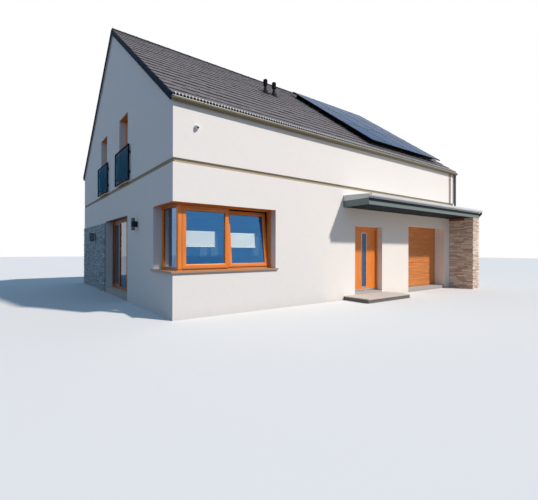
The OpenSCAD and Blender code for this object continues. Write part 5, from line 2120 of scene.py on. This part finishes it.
@dataclass
class Studio:
    """The pale floor, the sun, the world and the camera at the photograph's angle."""

    eye: Triple = (-9.121, -12.761, 1.536)
    yaw: float = 53.312
    pitch: float = 0.064
    roll: float = 0.155
    focal_px: float = 349.606
    sensor: float = 36.0
    floor_half: float = 80.0
    to_sun: Triple = (0.57, -0.95, 1.1)
    sun_strength: float = 3.6
    sun_colour: Colour = (1.0, 0.92, 0.84)
    sun_softness: float = 3.0
    sky_colour: Colour = (0.40, 0.66, 1.0)
    sky_strength: float = 0.46
    white: Colour = (1.0, 1.0, 1.0)
    floor_seen: Colour = (0.74, 0.74, 0.73)
    floor_bounce: Colour = (0.17, 0.17, 0.175)
    front_bounce: Colour = (0.58, 0.48, 0.37)
    front_from: float = -5.5
    entrance_from: float = -1.5

    def build(self) -> None:
        """Set up the whole studio."""
        self.camera()
        self.sun()
        self.world()
        self.floor()
        bpy.context.scene.view_settings.view_transform = "Standard"

    def camera(self) -> None:
        """Place the camera."""
        lens = bpy.data.cameras.new("camera")
        lens.sensor_width = self.sensor
        lens.lens = self.focal_px * self.sensor / max(IMAGE_SIZE)
        lens.clip_start, lens.clip_end = 0.1, 1000.0
        made = show("camera", lens)
        gaze = spin(self.yaw - 90, "Z") @ spin(90 + self.pitch, "X")
        made.matrix_world = move(*self.eye) @ gaze @ spin(self.roll, "Z")
        bpy.context.scene.camera = made

    def sun(self) -> None:
        """Place the sun."""
        light = bpy.data.lights.new("sun", "SUN")
        light.energy = self.sun_strength
        light.color = self.sun_colour
        light.angle = math.radians(self.sun_softness)
        show("sun", light).rotation_euler = Vector(self.to_sun).to_track_quat("Z", "Y").to_euler()

    @staticmethod
    def seen(graph: Graph) -> NodeSocket:
        """A mask of the rays that show the surroundings, straight or in glass and metal.

        Args:
            graph: The graph of the world or of the floor's material.

        Returns:
            1 for those rays and 0 for the rays that carry light from wall to wall.
        """
        path = graph.put("ShaderNodeLightPath").outputs
        gloss = graph.maths("MAXIMUM", path["Is Glossy Ray"], path["Is Transmission Ray"])
        first = graph.maths("LESS_THAN", path["Diffuse Depth"], 0.5)
        return graph.maths("MAXIMUM", path["Is Camera Ray"], graph.maths("MULTIPLY", gloss, first))

    def world(self) -> None:
        """A cool pale sky that the camera and the gloss see as white."""
        sky = bpy.data.worlds.new("studio")
        sky.use_nodes = True
        bpy.context.scene.world = sky
        graph = Graph(sky.node_tree)
        shader, seen = sky.node_tree.nodes["Background"], self.seen(graph)
        graph.feed(shader.inputs["Color"], graph.mix(seen, self.sky_colour, self.white))
        graph.feed(shader.inputs["Strength"], graph.maths("MAXIMUM", seen, self.sky_strength))

    def floor(self) -> None:
        """A plain floor in a matt paint, pale to the camera, that throws less light back on the walls."""
        paint = Surface(bpy.data.materials.new("floor_paint"))
        spot = paint.put("ShaderNodeSeparateXYZ", {"Vector": paint.place}).outputs
        before = paint.maths("LESS_THAN", spot["Y"], self.front_from)
        beside = paint.maths("GREATER_THAN", spot["X"], self.entrance_from)
        front = paint.maths("MULTIPLY", before, beside)
        thrown = paint.mix(front, self.floor_bounce, self.front_bounce)
        shown = paint.mix(self.seen(paint), thrown, self.floor_seen)
        paint.give({"Base Color": shown, "Roughness": 0.95, "Specular IOR Level": 0.0})
        half, mesh = self.floor_half, bpy.data.meshes.new("floor")
        spots = [(-half, -half, 0), (half, -half, 0), (half, half, 0), (-half, half, 0)]
        mesh.from_pydata(spots, [], [(0, 1, 2, 3)])
        mesh.materials.append(bpy.data.materials["floor_paint"])
        show("floor", mesh)


def main() -> None:
    """Build the studio and every sub-assembly in order."""
    logging.basicConfig(level=logging.INFO, format="%(name)s %(message)s")
    parts = (
        Studio, Walls, Roof, SolarArray, Vents, Joinery, TerraceDoor, FrontDoor, GarageDoor, Ledgers, Canopy,
        Railings, Fittings,
    )
    for part in parts:
        part().build()
        LOG.info("built %s", part.__name__)


if __name__ == "__main__":
    main()
